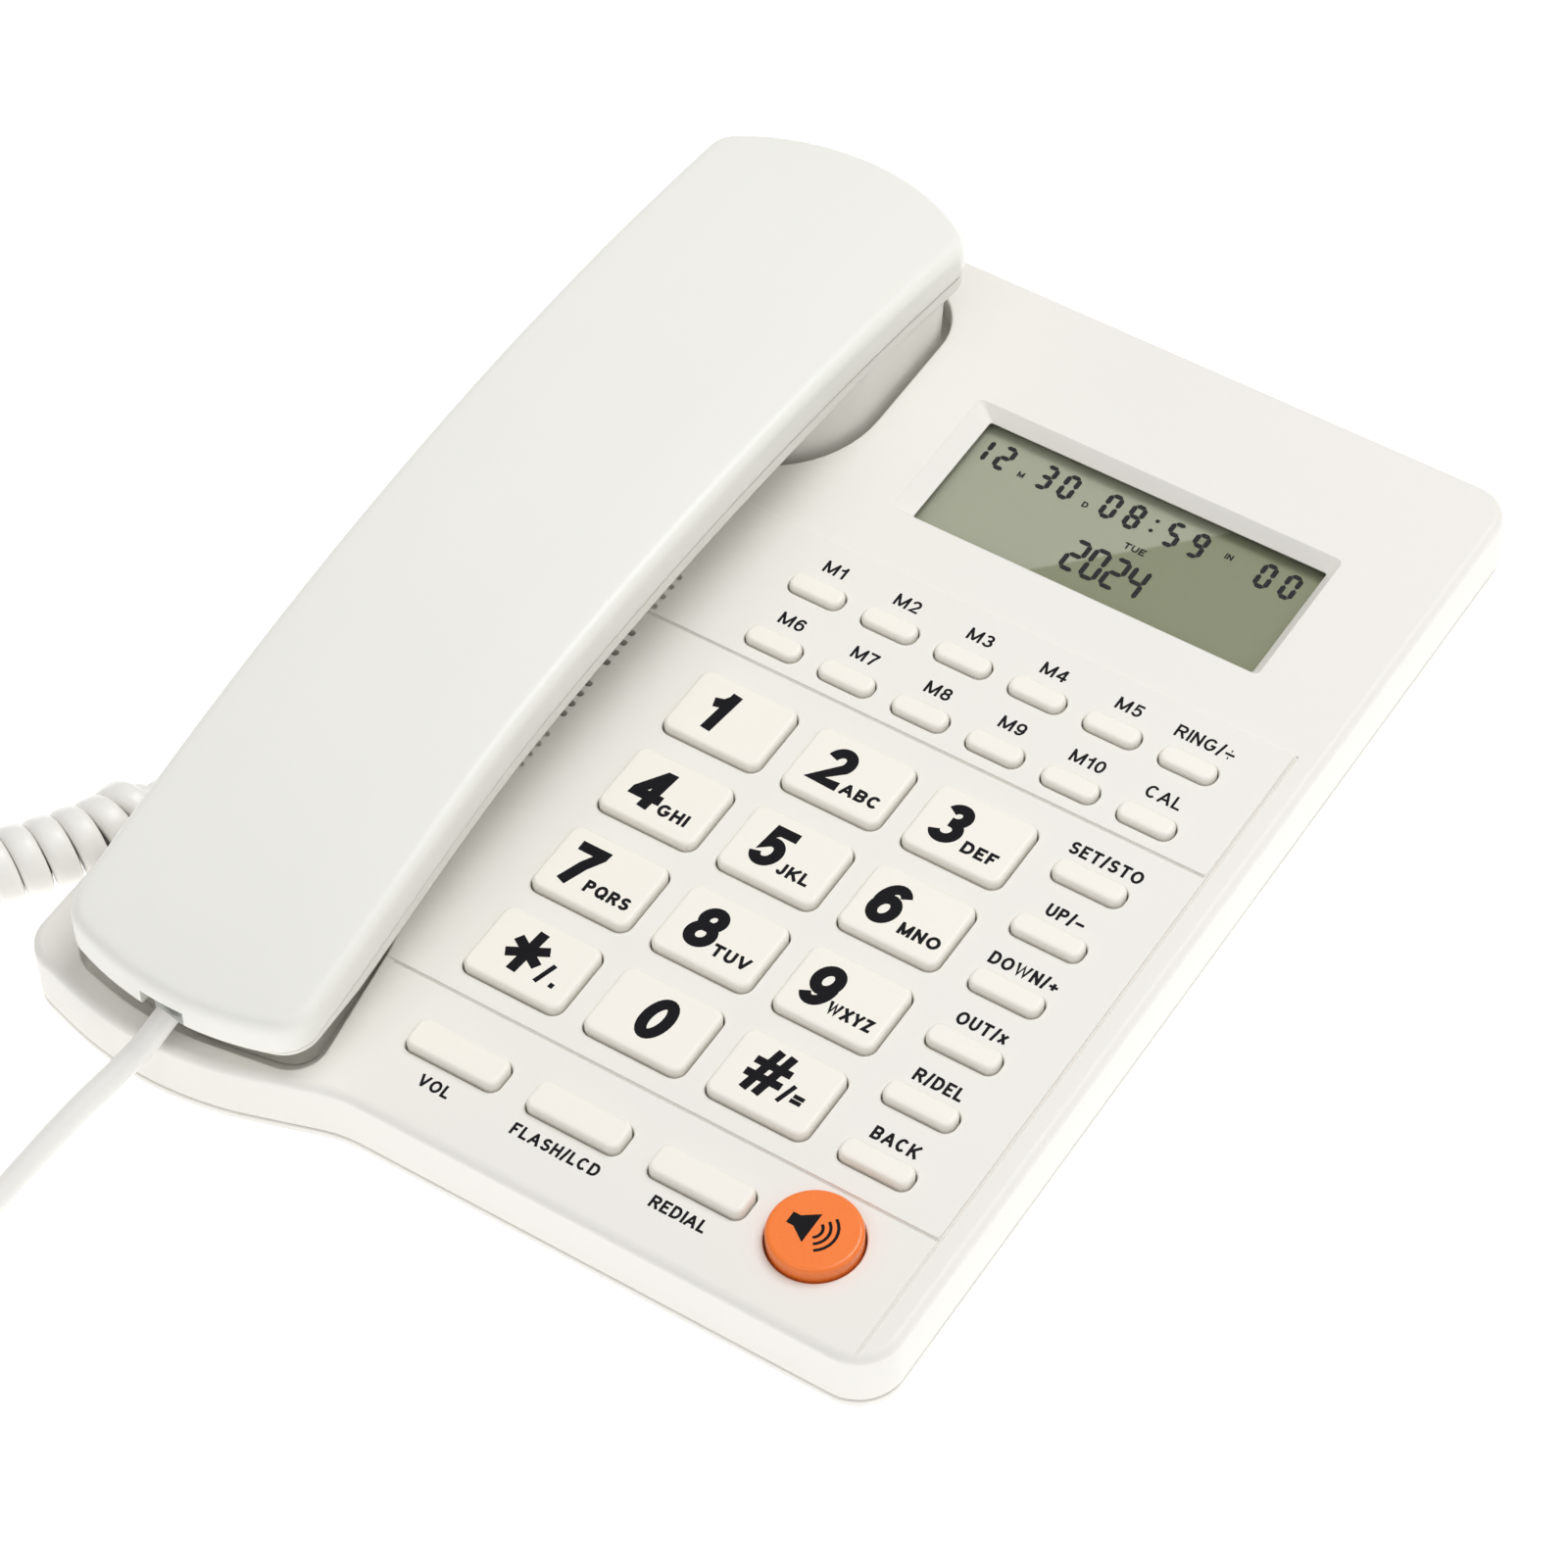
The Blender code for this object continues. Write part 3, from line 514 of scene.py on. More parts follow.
# Each character: its width for a height of 1, then its strokes in a unit box. A stroke is a run of
# corners (x, y) and arcs (x, y, radius x, radius y, from degree, to degree).
ROUND = [(0.5, 0.5, 0.5, 0.5, 0, 360)]
LEFT_STEM = [(0, 0), (0, 1)]
RIGHT_STEM = [(1, 0), (1, 1)]
STEM = [(0.5, 0), (0.5, 1)]
BOWL = [(0.01, 1), (0.6, 0.75, 0.4, 0.25, 90, -90), (0.01, 0.5)]
BAR = [(0, 0.42), (1, 0.42)]
GLYPHS = {
    "A": (0.93, [[(0, 0), (0.47, 0.97), (0.53, 0.97), (1, 0)], [(0.2, 0.3), (0.8, 0.3)]]),
    "B": (0.78, [LEFT_STEM, BOWL, [(0.01, 0.5), (0.62, 0.25, 0.38, 0.25, 90, -90), (0.01, 0)]]),
    "C": (0.88, [[(0.5, 0.5, 0.5, 0.5, 42, 318)]]),
    "D": (0.84, [LEFT_STEM, [(0.01, 1), (0.45, 0.5, 0.55, 0.5, 90, -90), (0.01, 0)]]),
    "E": (0.72, [LEFT_STEM, [(0.01, 1), (1, 1)], [(0.01, 0.52), (0.95, 0.52)], [(0.01, 0), (1, 0)]]),
    "F": (0.68, [LEFT_STEM, [(0.01, 1), (1, 1)], [(0.01, 0.5), (0.9, 0.5)]]),
    "G": (0.92, [[(0.5, 0.5, 0.5, 0.5, 42, 330), (0.97, 0.45), (0.56, 0.45)]]),
    "H": (0.80, [LEFT_STEM, RIGHT_STEM, [(0.01, 0.53), (0.99, 0.53)]]),
    "I": (0.16, [STEM]),
    "J": (0.60, [[(1, 1), (0.5, 0.33, 0.5, 0.33, 0, -170)]]),
    "K": (0.82, [LEFT_STEM, [(1, 1), (0.01, 0.33)], [(0.34, 0.6), (1, 0)]]),
    "L": (0.66, [LEFT_STEM, [(0.01, 0), (1, 0)]]),
    "M": (0.95, [LEFT_STEM, RIGHT_STEM, [(0.03, 0.97), (0.47, 0.05), (0.53, 0.05), (0.97, 0.97)]]),
    "N": (0.80, [LEFT_STEM, RIGHT_STEM, [(0.03, 0.97), (0.97, 0.03)]]),
    "O": (0.96, [ROUND]),
    "P": (0.76, [LEFT_STEM, BOWL]),
    "Q": (0.96, [ROUND, [(0.58, 0.27), (0.98, 0.0)]]),
    "R": (0.82, [LEFT_STEM, BOWL, [(0.5, 0.5), (1, 0)]]),
    "S": (0.78, [[(0.5, 0.755, 0.46, 0.245, 20, 262), (0.5, 0.255, 0.5, 0.255, 78, -162)]]),
    "T": (0.80, [STEM, [(0, 1), (1, 1)]]),
    "U": (0.80, [[(0, 1), (0.5, 0.36, 0.5, 0.36, 180, 360), (1, 1)]]),
    "V": (0.88, [[(0, 1), (0.47, 0.03), (0.53, 0.03), (1, 1)]]),
    "W": (1.25, [[(0, 1), (0.25, 0.03), (0.5, 0.95), (0.75, 0.03), (1, 1)]]),
    "X": (0.88, [[(0, 0), (1, 1)], [(0, 1), (1, 0)]]),
    "Y": (0.88, [[(0, 1), (0.5, 0.42), (1, 1)], [(0.5, 0), (0.5, 0.44)]]),
    "Z": (0.78, [[(0.02, 1), (1, 1), (0, 0), (1, 0)]]),
    "0": (0.66, [ROUND]),
    "1": (0.42, [[(1, 0), (1, 1)], [(0.99, 0.97), (0.55, 0.77), (0.0, 0.73)]]),
    "2": (0.66, [[(0.5, 0.70, 0.48, 0.30, 172, -30), (0.04, 0.0), (1, 0)]]),
    "3": (
        0.66,
        [
            [(0.47, 0.765, 0.44, 0.235, 160, -85)],
            [(0.47, 0.265, 0.53, 0.265, 88, -160)],
            [(0.33, 0.53), (0.55, 0.53)],
        ],
    ),
    "4": (0.70, [[(0.74, 0), (0.74, 0.97), (0.66, 0.97), (0, 0.3), (0, 0.24), (1, 0.24)]]),
    "5": (0.66, [[(0.95, 1), (0.2, 1), (0.1, 0.5), (0.49, 0.32, 0.5, 0.32, 128, -160)]]),
    "6": (0.66, [[(0.5, 0.32, 0.5, 0.32, 0, 360)], [(0.56, 0.55, 0.56, 0.45, 38, 190)]]),
    "7": (0.66, [[(0, 1), (0.98, 1), (0.98, 0.93), (0.6, 0.5), (0.36, 0)]]),
    "8": (0.66, [[(0.5, 0.76, 0.43, 0.24, 0, 360)], [(0.5, 0.27, 0.5, 0.27, 0, 360)]]),
    "9": (0.66, [[(0.5, 0.68, 0.5, 0.32, 0, 360)], [(0.44, 0.45, 0.56, 0.45, 218, 370)]]),
    "*": (0.92, [STEM, [(0.02, 0.25), (0.98, 0.75)], [(0.02, 0.75), (0.98, 0.25)]]),
    "#": (
        0.92,
        [[(0.2, 0), (0.36, 1)], [(0.64, 0), (0.8, 1)], [(0, 0.68), (1, 0.68)], [(0, 0.32), (1, 0.32)]],
    ),
    "/": (0.42, [[(0, -0.06), (1, 1.06)]]),
    ".": (0.2, [[(0.5, 0), (0.5, 0.17)]]),
    "\u2212": (0.72, [BAR]),
    "+": (0.72, [BAR, [(0.5, 0.08), (0.5, 0.76)]]),
    "\u00d7": (0.60, [[(0, 0.1), (1, 0.74)], [(0, 0.74), (1, 0.1)]]),
    "\u00f7": (0.72, [BAR, [(0.4, 0.8), (0.6, 0.8)], [(0.4, 0.04), (0.6, 0.04)]]),
    "=": (0.60, [[(0, 0.25), (1, 0.25)], [(0, 0.6), (1, 0.6)]]),
}
SPACE_BETWEEN = 0.17
MITRE_LIMIT = 0.55


def stroke_line(stroke):
    """A stroke's points, its arcs drawn out."""
    points = []
    for item in stroke:
        if len(item) == 2:
            points.append(Vector(item))
            continue
        x, y, radius_x, radius_y, start, end = item
        steps = max(4, round(abs(end - start) / 12))
        for k in range(steps + 1):
            angle = math.radians(start + (end - start) * k / steps)
            points.append(Vector((x + radius_x * math.cos(angle), y + radius_y * math.sin(angle))))
    return points


def ribbon(points, width, z, raised):
    """A flat band of that width along points; one whose ends meet is closed."""
    closed = (points[0] - points[-1]).length < width * 0.05
    if closed:
        points = points[:-1]
    count = len(points)
    mesh = bmesh.new()
    rows = []
    for i, point in enumerate(points):
        before = point - points[i - 1] if closed or i > 0 else points[1] - point
        after = points[(i + 1) % count] - point if closed or i < count - 1 else before
        before, after = before.normalized(), after.normalized()
        ahead = (before + after).normalized()
        share = max(MITRE_LIMIT, math.sqrt(max(0.0, (1 + before.dot(after)) / 2)))
        side = Vector((-ahead.y, ahead.x)) * (width / 2 / share)
        spots = [(point - side, z), (point + side, z), (point + side, z + raised), (point - side, z + raised)]
        rows.append([mesh.verts.new((p.x, p.y, h)) for p, h in spots])
    pairs = list(zip(rows, rows[1:])) + ([(rows[-1], rows[0])] if closed else [])
    for a, b in pairs:
        for i in range(4):
            j = (i + 1) % 4
            mesh.faces.new((a[i], a[j], b[j], b[i]))
    if not closed:
        mesh.faces.new(rows[0])
        mesh.faces.new(rows[-1])
    bmesh.ops.recalc_face_normals(mesh, faces=mesh.faces[:])
    return mesh


def glyph(text, x, y, tall, wide, weight, z, slant, raised):
    """One character's strokes, each run on to the character's edge where it ends there."""
    share, strokes = GLYPHS[text]
    across = max(share * tall * wide - weight, 0.001)
    up = tall - weight
    bands = []
    for stroke in strokes:
        line = stroke_line(stroke)
        spots = [Vector((weight / 2 + p.x * across, weight / 2 + p.y * up)) for p in line]
        for end, nxt in ((0, 1), (-1, -2)):
            if len(stroke[end]) == 2 and any(c in (0, 1) for c in stroke[end]):
                spots[end] += (spots[end] - spots[nxt]).normalized() * weight / 2
        spots = [Vector((x + p.x + slant * p.y, y + p.y)) for p in spots]
        bands.append(ribbon(spots, weight, z, raised))
    return bands, share * tall * wide


def word_width(text, tall, wide):
    drawn = sum(GLYPHS[c][0] * tall * wide for c in text if c != " ")
    return drawn + SPACE_BETWEEN * tall * wide * (len(text) - 1)


def lettering(text, x, y, tall, z, weight, wide=1.0, slant=0.0, align="CENTER", raised=0.03):
    """A line of text as thin raised strokes, its baseline at y and its middle, or its left end, at x."""
    at = x - word_width(text, tall, wide) / 2 if align == "CENTER" else x
    bands = []
    for character in text:
        if character != " ":
            drawn, width = glyph(character, at, y, tall, wide, weight, z, slant, raised)
            bands += drawn
            at += width
        at += SPACE_BETWEEN * tall * wide
    return bands


def united(bands):
    """Overlapping bands joined into one clean body for each character."""
    return combined(bands[0], merged(bands[1:]), "UNION", True)


def key_places(kind, names):
    """Each key's name and middle, along the rows of one kind of key."""
    places = {}
    for i, name in enumerate(names):
        column, line = i % kind["row"], i // kind["row"]
        if kind["row"] == 1:
            column, line = 0, i
        x = kind["first"][0] + kind["pitch"][0] * column
        y = kind["first"][1] - kind["pitch"][1] * line
        places[name] = (x, y)
    return places


MAIN_PLACES = key_places(MAIN, MAIN_LABELS)
MEMORY_PLACES = key_places(MEMORY, MEMORY_LABELS)
SIDE_PLACES = key_places(SIDE, SIDE_LABELS)
FRONT_PLACES = key_places(FRONT, FRONT_LABELS)
KEY_KINDS = [(MAIN, MAIN_PLACES), (MEMORY, MEMORY_PLACES), (SIDE, SIDE_PLACES), (FRONT, FRONT_PLACES)]


def add_panel_lettering():
    words = []
    for name, (x, y) in MEMORY_PLACES.items():
        text = MEMORY_LABELS[name]
        wide = 0.88 if len(text) > 3 or name == "calculate" else 1.0
        words += lettering(text, x, y + 4.5, 2.65, 2 * FIELD_STEP - 0.01, 0.46, wide)
    for name, (x, y) in SIDE_PLACES.items():
        words += lettering(SIDE_LABELS[name], x + 0.2, y + 3.9, 2.6, FIELD_STEP - 0.01, 0.52, 0.82)
    for name, (x, y) in FRONT_PLACES.items():
        words += lettering(FRONT_LABELS[name], x, y - 7.8, 2.35, -0.01, 0.48, 0.86)
    piece("panel_lettering", united(words), INK, "base")


# The base -----------------------------------------------------------------------------------------


def quarter(radius, steps, z_top, outline):
    """Rings of a rounded edge, from the side up on to the top."""
    rings = []
    for k in range(steps + 1):
        angle = math.pi / 2 * k / steps
        step_in = radius * (1 - math.cos(angle))
        rings.append(level(inset(outline, step_in), z_top - radius * (1 - math.sin(angle))))
    return rings


def key_outline(spot, kind, grow=0.0):
    x, y = spot
    half_x, half_y = kind["size"][0] / 2 + grow, kind["size"][1] / 2 + grow
    return rectangle(x - half_x, y - half_y, x + half_x, y + half_y, kind["corner"] + max(grow, -0.7), 6)


def well_cutter(corners):
    """A well with a rounded rim and a rounded floor edge."""
    outline = rounded(corners, 14)
    rings = [level(inset(outline, 1.2), WELL_FLOOR)]
    for k in range(1, 5):
        angle = math.pi / 2 * k / 4
        step_in = 1.2 * (1 - math.sin(angle))
        rings.append(level(inset(outline, step_in), WELL_FLOOR + 1.2 * (1 - math.cos(angle))))
    for k in range(5):
        angle = math.pi / 2 * k / 4
        rings.append(level(inset(outline, -0.5 * (1 - math.cos(angle))), -0.5 + 0.5 * math.sin(angle)))
    rings.append(level(inset(outline, -0.5), 4.0))
    return loft(rings)


def groove(start, end, top, width=0.55, depth=0.35):
    """A V-shaped cutter along a straight line on the panel, whose surface there is at top."""
    a, b = Vector(start), Vector(end)
    across = Vector(((a - b).y, (b - a).x)).normalized() * width / 2
    profile = [(-1.0, 0.02), (0.0, -depth), (1.0, 0.02), (1.0, 1.0), (-1.0, 1.0)]
    return loft([[(*(p + across * side), top + z) for side, z in profile] for p in (a, b)])


def slot_cutters(middle, bottom, top):
    cutters = []
    for i in range(4):
        y = middle + (i - 1.5) * SLOT_PITCH
        outline = rectangle(SLOT_X[0], y - SLOT_WIDTH / 2, SLOT_X[1], y + SLOT_WIDTH / 2, 0.58, 4)
        cutters.append(pocket(outline, bottom, top, 0.2, 2))
    return cutters


def add_top_cover():
    base = rounded(BASE_CORNERS, 20)
    rings = [level(inset(base, WALL), -PANEL_THICK), level(inset(base, WALL), COVER_BOTTOM)]
    rings += [level(inset(base, 0.25), COVER_BOTTOM), level(base, COVER_BOTTOM + 0.25)]
    rings += quarter(1.6, 7, 0.0, base)
    cover = loft(rings)
    wells = [rounded(EAR_WELL, 14), rounded(MOUTH_WELL, 14)]
    cover = combined(cover, merged([prism(inset(w, -1.5), WELL_FLOOR - 1.5, -1.0) for w in wells]), "UNION")
    for corners, top in ((FIELD, FIELD_STEP), (MEMORY_FIELD, 2 * FIELD_STEP)):
        outline = rounded([(x, y, 0.8) for x, y in corners], 4)
        step = loft([level(outline, -1.0)] + quarter(0.22, 4, top, outline))
        cover = combined(cover, step, "UNION")
    cuts = [well_cutter(EAR_WELL), well_cutter(MOUTH_WELL)]
    tops = (FIELD_STEP, 2 * FIELD_STEP, FIELD_STEP, 0.0)
    for (kind, places), top in zip(KEY_KINDS, tops):
        cuts += [pocket(key_outline(spot, kind, GAP), -4.0, top) for spot in places.values()]
    cuts.append(pocket(circle(*SPEAKER_KEY, SPEAKER_KEY_RADIUS + GAP, 64), -4.0))
    for middle in THROUGH_SLOTS:
        cuts += slot_cutters(middle, -4.0, FIELD_STEP)
    for middle in SHALLOW_SLOTS:
        cuts += slot_cutters(middle, -0.9, FIELD_STEP * (2 if middle > MEMORY_FIELD[0][1] else 1))
    top, glass = rectangle(*WINDOW_TOP, 1.2, 5), rectangle(*WINDOW_GLASS, 0.5, 5)
    window = [level(glass, -3.0), level(glass, -2.0), level(inset(top, 0.25), -0.18), level(top, 0.0)]
    cuts.append(loft(window + [level(inset(top, -0.2), 0.05), level(inset(top, -0.2), 1.0)]))
    cover = combined(cover, merged(cuts))
    for start, end, top in LINES:
        cover = combined(cover, groove(start, end, top))
    rest = [block(-38.3, 65.2, WELL_FLOOR - 3, -27.7, 71.3, WELL_FLOOR + 1, 0.8)]
    rest.append(block(54.8, REAR_Y - 4, -10.4, 65.2, REAR_Y + 2, -3.2))
    cover = combined(cover, merged(rest))
    piece("cover_shell", cover, IVORY, "base", ["top_cover"])


def add_bottom_shell():
    base = rounded(BASE_CORNERS, 20)
    rings = [
        level(inset(base, 4.0), FLOOR_TOP),
        level(inset(base, 4.0), -8.6),
        level(inset(base, WALL + GAP), -8.6),
        level(inset(base, WALL + GAP), FLOOR_TOP),
        level(inset(base, 0.2), FLOOR_TOP),
        level(base, FLOOR_TOP - 0.2),
    ]
    for k in range(1, 6):
        angle = math.pi / 2 * k / 5
        step_in = 0.9 * (1 - math.cos(angle))
        rings.append(level(inset(base, step_in), BASE_BOTTOM + 0.9 * (1 - math.sin(angle))))
    shell = loft(rings)
    x0, y0, x1, y1 = STAND
    outside = rectangle(x0, y0, x1, y1, 3, 8)
    foot = [level(inset(outside, 0.8), lambda y: height(1.5, y)), level(outside, lambda y: height(2.3, y))]
    stand = loft([level(outside, -12.4)] + foot[::-1])
    shell = combined(shell, stand, "UNION")
    inside = inset(outside, 2.2)
    hollow = loft([level(inside, -10.0), level(inside, lambda y: height(3.5, y))])
    door = rectangle(*BATTERY_DOOR, 2)
    shell = combined(shell, merged([hollow, prism(door, -15, -10)]))
    y, z = BASE_JACK_Y, BASE_JACK_Z
    cuts = [block(x0 - 2, y - 4.3, z - 3.8, x0 + 4, y + 4.3, z + 3.8)]
    cuts.append(block(52, REAR_Y - 14, FLOOR_TOP + 0.1, 68, REAR_Y - 1, -4))
    for x, y in SCREW_PLACES:
        cuts.append(prism(circle(x, y, 3.6, 32), BASE_BOTTOM - 1, BASE_BOTTOM + 1.3))
    for i in range(7):
        x = -40 + i * 5.0
        cuts.append(block(x - 0.8, 12, BASE_BOTTOM - 1, x + 0.8, 40, BASE_BOTTOM + 0.8, 0.7))
    shell = combined(shell, merged(cuts))
    piece("base_shell", shell, IVORY, "base", ["bottom_shell"])


def screw(x, y, z):
    """A pan-head screw with a cross recess, its head facing down."""
    angles = (0.0, 0.4, 0.8, 1.2)
    head = loft([level(circle(0, 0, 2.9 * math.cos(a), 32), 0.5 + math.sin(a)) for a in angles])
    head = combined(head, block(-1.7, -0.32, 0.7, 1.7, 0.32, 3.0))
    head = combined(head, block(-0.32, -1.7, 0.7, 0.32, 1.7, 3.0))
    head.transform(Matrix.Translation((x, y, z)) @ Matrix.Rotation(math.pi, 4, "X"))
    return head


def add_underside():
    heads = [screw(x, y, BASE_BOTTOM + 1.29) for x, y in SCREW_PLACES]
    piece("base_screws", merged(heads), STEEL, "base")
    door = inset(rectangle(*BATTERY_DOOR, 2), GAP)
    rings = [level(door, -12.0), level(door, BASE_BOTTOM + 0.3), level(inset(door, 0.3), BASE_BOTTOM)]
    cover = loft(rings)
    ridges = []
    for i in range(5):
        x = BATTERY_DOOR[2] - 6 - i * 2.2
        ridges.append(block(x - 0.5, -18, BASE_BOTTOM - 1, x + 0.5, -2, BASE_BOTTOM + 0.5, 0.45))
    cover = combined(cover, merged(ridges))
    piece("battery_cover", cover, IVORY, "base", ["battery_door"])
    feet = {
        "foot_front_left": (-42, -80.0, 6, BASE_BOTTOM - GAP),
        "foot_front_right": (60, -80.0, 6, BASE_BOTTOM - GAP),
        "foot_rear_left": (-38, STAND[3] - 9, 5, None),
        "foot_rear_right": (70, STAND[3] - 9, 5, None),
    }
    for name, (x, y, radius, top) in feet.items():
        outline = circle(x, y, radius, 40)
        upper = level(outline, top if top else (lambda at: height(1.2, at)))
        rings = [level(inset(outline, 0.6), lambda at: height(0.0, at))]
        rings.append(level(inset(outline, 0.15), lambda at: height(0.25, at)))
        rings.append(level(outline, lambda at: height(0.6, at)))
        piece(f"pad_{name}", loft(rings + [upper]), RUBBER, "base", [name])


# Keys ---------------------------------------------------------------------------------------------


def key_cap(kind, spot):
    rings = quarter(0.75, 5, KEY_HEIGHT, key_outline(spot, kind))[::-1]
    rings += [
        level(key_outline(spot, kind), -2.6),
        level(key_outline(spot, kind, KEY_FLANGE), -2.6),
        level(key_outline(spot, kind, KEY_FLANGE), -3.6),
    ]
    return loft(rings)


def add_keys():
    for kind, places in KEY_KINDS:
        for name, spot in places.items():
            cap = key_cap(kind, spot)
            piece(f"cap_{name}", cap, KEY_CREAM, f"key_{name}", [f"key_{name}"])
    outline = circle(*SPEAKER_KEY, SPEAKER_KEY_RADIUS, 64)
    rings = quarter(0.8, 5, SPEAKER_KEY_HEIGHT, outline)[::-1]
    flange = inset(outline, -KEY_FLANGE)
    rings += [level(outline, -2.6), level(flange, -2.6), level(flange, -3.6)]
    piece("cap_speaker", loft(rings), ORANGE, "key_speaker", ["key_speaker"])


def add_key_lettering():
    z = KEY_HEIGHT - 0.01
    for name, (x, y) in MAIN_PLACES.items():
        big, small = MAIN_LABELS[name]
        if name == "star":
            words = lettering(big, x - 1.6, y - 4.0, 8.8, z, 1.8, 1.0, 0.1, raised=PRINT)
            words += lettering(small, x + 2.6, y - 3.7, 3.9, z, 0.85, 0.9, 0.12, "LEFT", PRINT)
        elif name == "hash":
            words = lettering(big, x - 2.3, y - 3.9, 9.0, z, 1.5, 0.8, 0.1, raised=PRINT)
            words += lettering(small, x + 1.7, y - 3.1, 3.6, z, 0.8, 0.9, 0.12, "LEFT", PRINT)
        else:
            shift = DIGIT_SHIFT.get(name, -3.1)
            words = lettering(big, x + shift, y - 4.2, 8.7, z, 1.95, 0.96, 0.12, raised=PRINT)
        if small.isalpha():
            narrow = 0.76 if "W" in small else 0.88 if len(small) == 4 else 0.98
            left = x - 0.9 if len(small) == 4 else x + 0.45
            words += lettering(small, left, y - 4.1, 2.5, z, 0.58, narrow, 0.0, "LEFT", PRINT)
        piece(f"print_{name}", united(words), INK, f"key_{name}")


def add_speaker_icon():
    x, y = SPEAKER_KEY
    z = SPEAKER_KEY_HEIGHT - 0.01
    body = [(-4.9, -1.1), (-3.6, -1.1), (-0.9, -3.0), (-0.9, 3.0), (-3.6, 1.1), (-4.9, 1.1)]
    shapes = [prism([Vector((x + u + 0.4, y + v)) for u, v in body], z, z + PRINT)]
    for radius in (1.7, 2.9, 4.1):
        shapes.append(ribbon(stroke_line([(x - 0.5, y, radius, radius, -55, 55)]), 0.5, z, PRINT))
    piece("print_speaker", merged(shapes), INK, "key_speaker")


# The display --------------------------------------------------------------------------------------


def display_glass_painted_reflection():
    """Reflective liquid-crystal glass: its own darker tone, with a painted reflection that makes it lighter
    to the upper left of a slanting border.
    """
    made, tree, shader = shader_nodes("display_glass_painted_reflection", 0.3)
    fine = noise(tree, 2500.0)
    # light is the glass's tone lightened by a painted reflection; dark is the glass's own tone
    light = between(tree, fine.outputs["Fac"], (0.335, 0.353, 0.255), (0.36, 0.378, 0.28))
    dark = between(tree, fine.outputs["Fac"], (0.215, 0.232, 0.135), (0.228, 0.245, 0.148))
    place = tree.nodes.new("ShaderNodeTexCoord")
    apart = tree.nodes.new("ShaderNodeSeparateXYZ")
    tree.links.new(place.outputs["Object"], apart.inputs["Vector"])
    scaled = tree.nodes.new("ShaderNodeMath")
    scaled.operation = "MULTIPLY_ADD"
    scaled.inputs[1].default_value = REFLECTION_SLOPE
    tree.links.new(apart.outputs["Y"], scaled.inputs[0])
    tree.links.new(apart.outputs["X"], scaled.inputs[2])
    reflection_border = spread(tree, scaled.outputs["Value"], 0.0, 1.0, REFLECTION_EDGE - 0.0004, REFLECTION_EDGE + 0.0004)
    tree.links.new(between(tree, reflection_border, light, dark), shader.inputs["Base Color"])
    return made


def segment_digit(text, x, y, wide, tall, z):
    """One seven-segment digit, its lower left corner at (x, y)."""
    stroke = 0.9
    half = tall / 2
    corners = {
        "a": ((0, tall), (wide, tall)),
        "b": ((wide, tall), (wide, half)),
        "c": ((wide, half), (wide, 0)),
        "d": ((0, 0), (wide, 0)),
        "e": ((0, half), (0, 0)),
        "f": ((0, tall), (0, half)),
        "g": ((0, half), (wide, half)),
    }
    bars = []
    for name in SEGMENTS[text]:
        a, b = (Vector((x + u, y + v)) for u, v in corners[name])
        along = (b - a).normalized()
        across = Vector((-along.y, along.x)) * stroke / 2
        a, b = a + along * 0.06, b - along * 0.06
        tip = along * stroke / 2
        outline = [a, a + tip + across, b - tip + across, b, b - tip - across, a + tip - across]
        bars.append(prism(outline, z, z + 0.05))
    return bars


def add_display():
    glass = rectangle(8.2, 61.2, 76.8, 89.6, 0.5)
    body = loft([level(glass, -6.6), level(glass, -4.1), level(inset(glass, 0.2), -3.9)])
    piece("display_panel", body, display_glass_painted_reflection(), "base", ["display_module"])
    cover = rectangle(7.4, 60.6, 77.6, 90.2, 1)
    edge = inset(cover, 0.2)
    sheet = loft([level(edge, -3.6), level(cover, -3.4), level(cover, -2.7), level(edge, -2.5)])
    piece("display_cover", sheet, WINDOW, "base", ["display_window"])
    z = -3.89
    marks = []
    upper = ("1", 9.6), ("2", 14.0), ("3", 22.4), ("0", 26.8), ("0", 35.2), ("8", 39.8)
    upper += ("5", 47.5), ("9", 52.3), ("0", 65.4), ("0", 70.1)
    for text, x in upper:
        marks += segment_digit(text, x, 81.2, 2.0, 5.0, z)
    for text, x in (("2", 35.4), ("0", 39.3), ("2", 43.2), ("4", 47.1)):
        marks += segment_digit(text, x, 67.6, 2.5, 6.6, z)
    for y in (82.5, 84.9):
        marks.append(prism(circle(44.65, y, 0.4, 12), z, z + 0.05))
    for text, x, y in (("M", 19.3, 81.3), ("D", 32.2, 81.1), ("IN", 59.0, 83.6)):
        marks += lettering(text, x, y, 1.25, z, 0.26, raised=0.05)
    marks += lettering("TUE", 44.5, 76.7, 1.4, z, 0.28, 1.1, raised=0.05)
    piece("display_marks", merged(marks), INK, "base")


# The handset --------------------------------------------------------------------------------------


def arch(y):
    """How far the handset's slab drops below its crest at y."""
    return -((y - ARCH_TOP_Y) ** 2) / (2 * ARCH_RADIUS)


def flare(y):
    """How far the handset's right side swells out at its mouth end."""
    share = min(1.0, max(0.0, (-22 - y) / 60))
    return MOUTH_FLARE * share * share * (3 - 2 * share)


def handset_middle(y):
    return -32.5 + 0.005 * (100 - y) + flare(y) / 2


def handset_half_width(y):
    return 23.9 + 0.0184 * y + flare(y) / 2


def band_share(y):
    """The share left at y of the band below the seam. At the mouth end its lower edge runs level."""
    room = SEAM + arch(y) - MOUTH_EDGE_Z
    return max(0.1, min(1.0, room / BAND)) if y < 0 else 1.0


def handset_height(above, y, inside=False):
    """The Z of a ring of the handset at y: over the seam it follows the arch, under it the band too."""
    if inside:
        return above + arch(y) + BAND * (1 - band_share(y)) * max(0.0, (SEAM - above - 0.3) / 2.4)
    return SEAM + max(0.0, above - SEAM) + min(0.0, above - SEAM) * band_share(y) + arch(y)


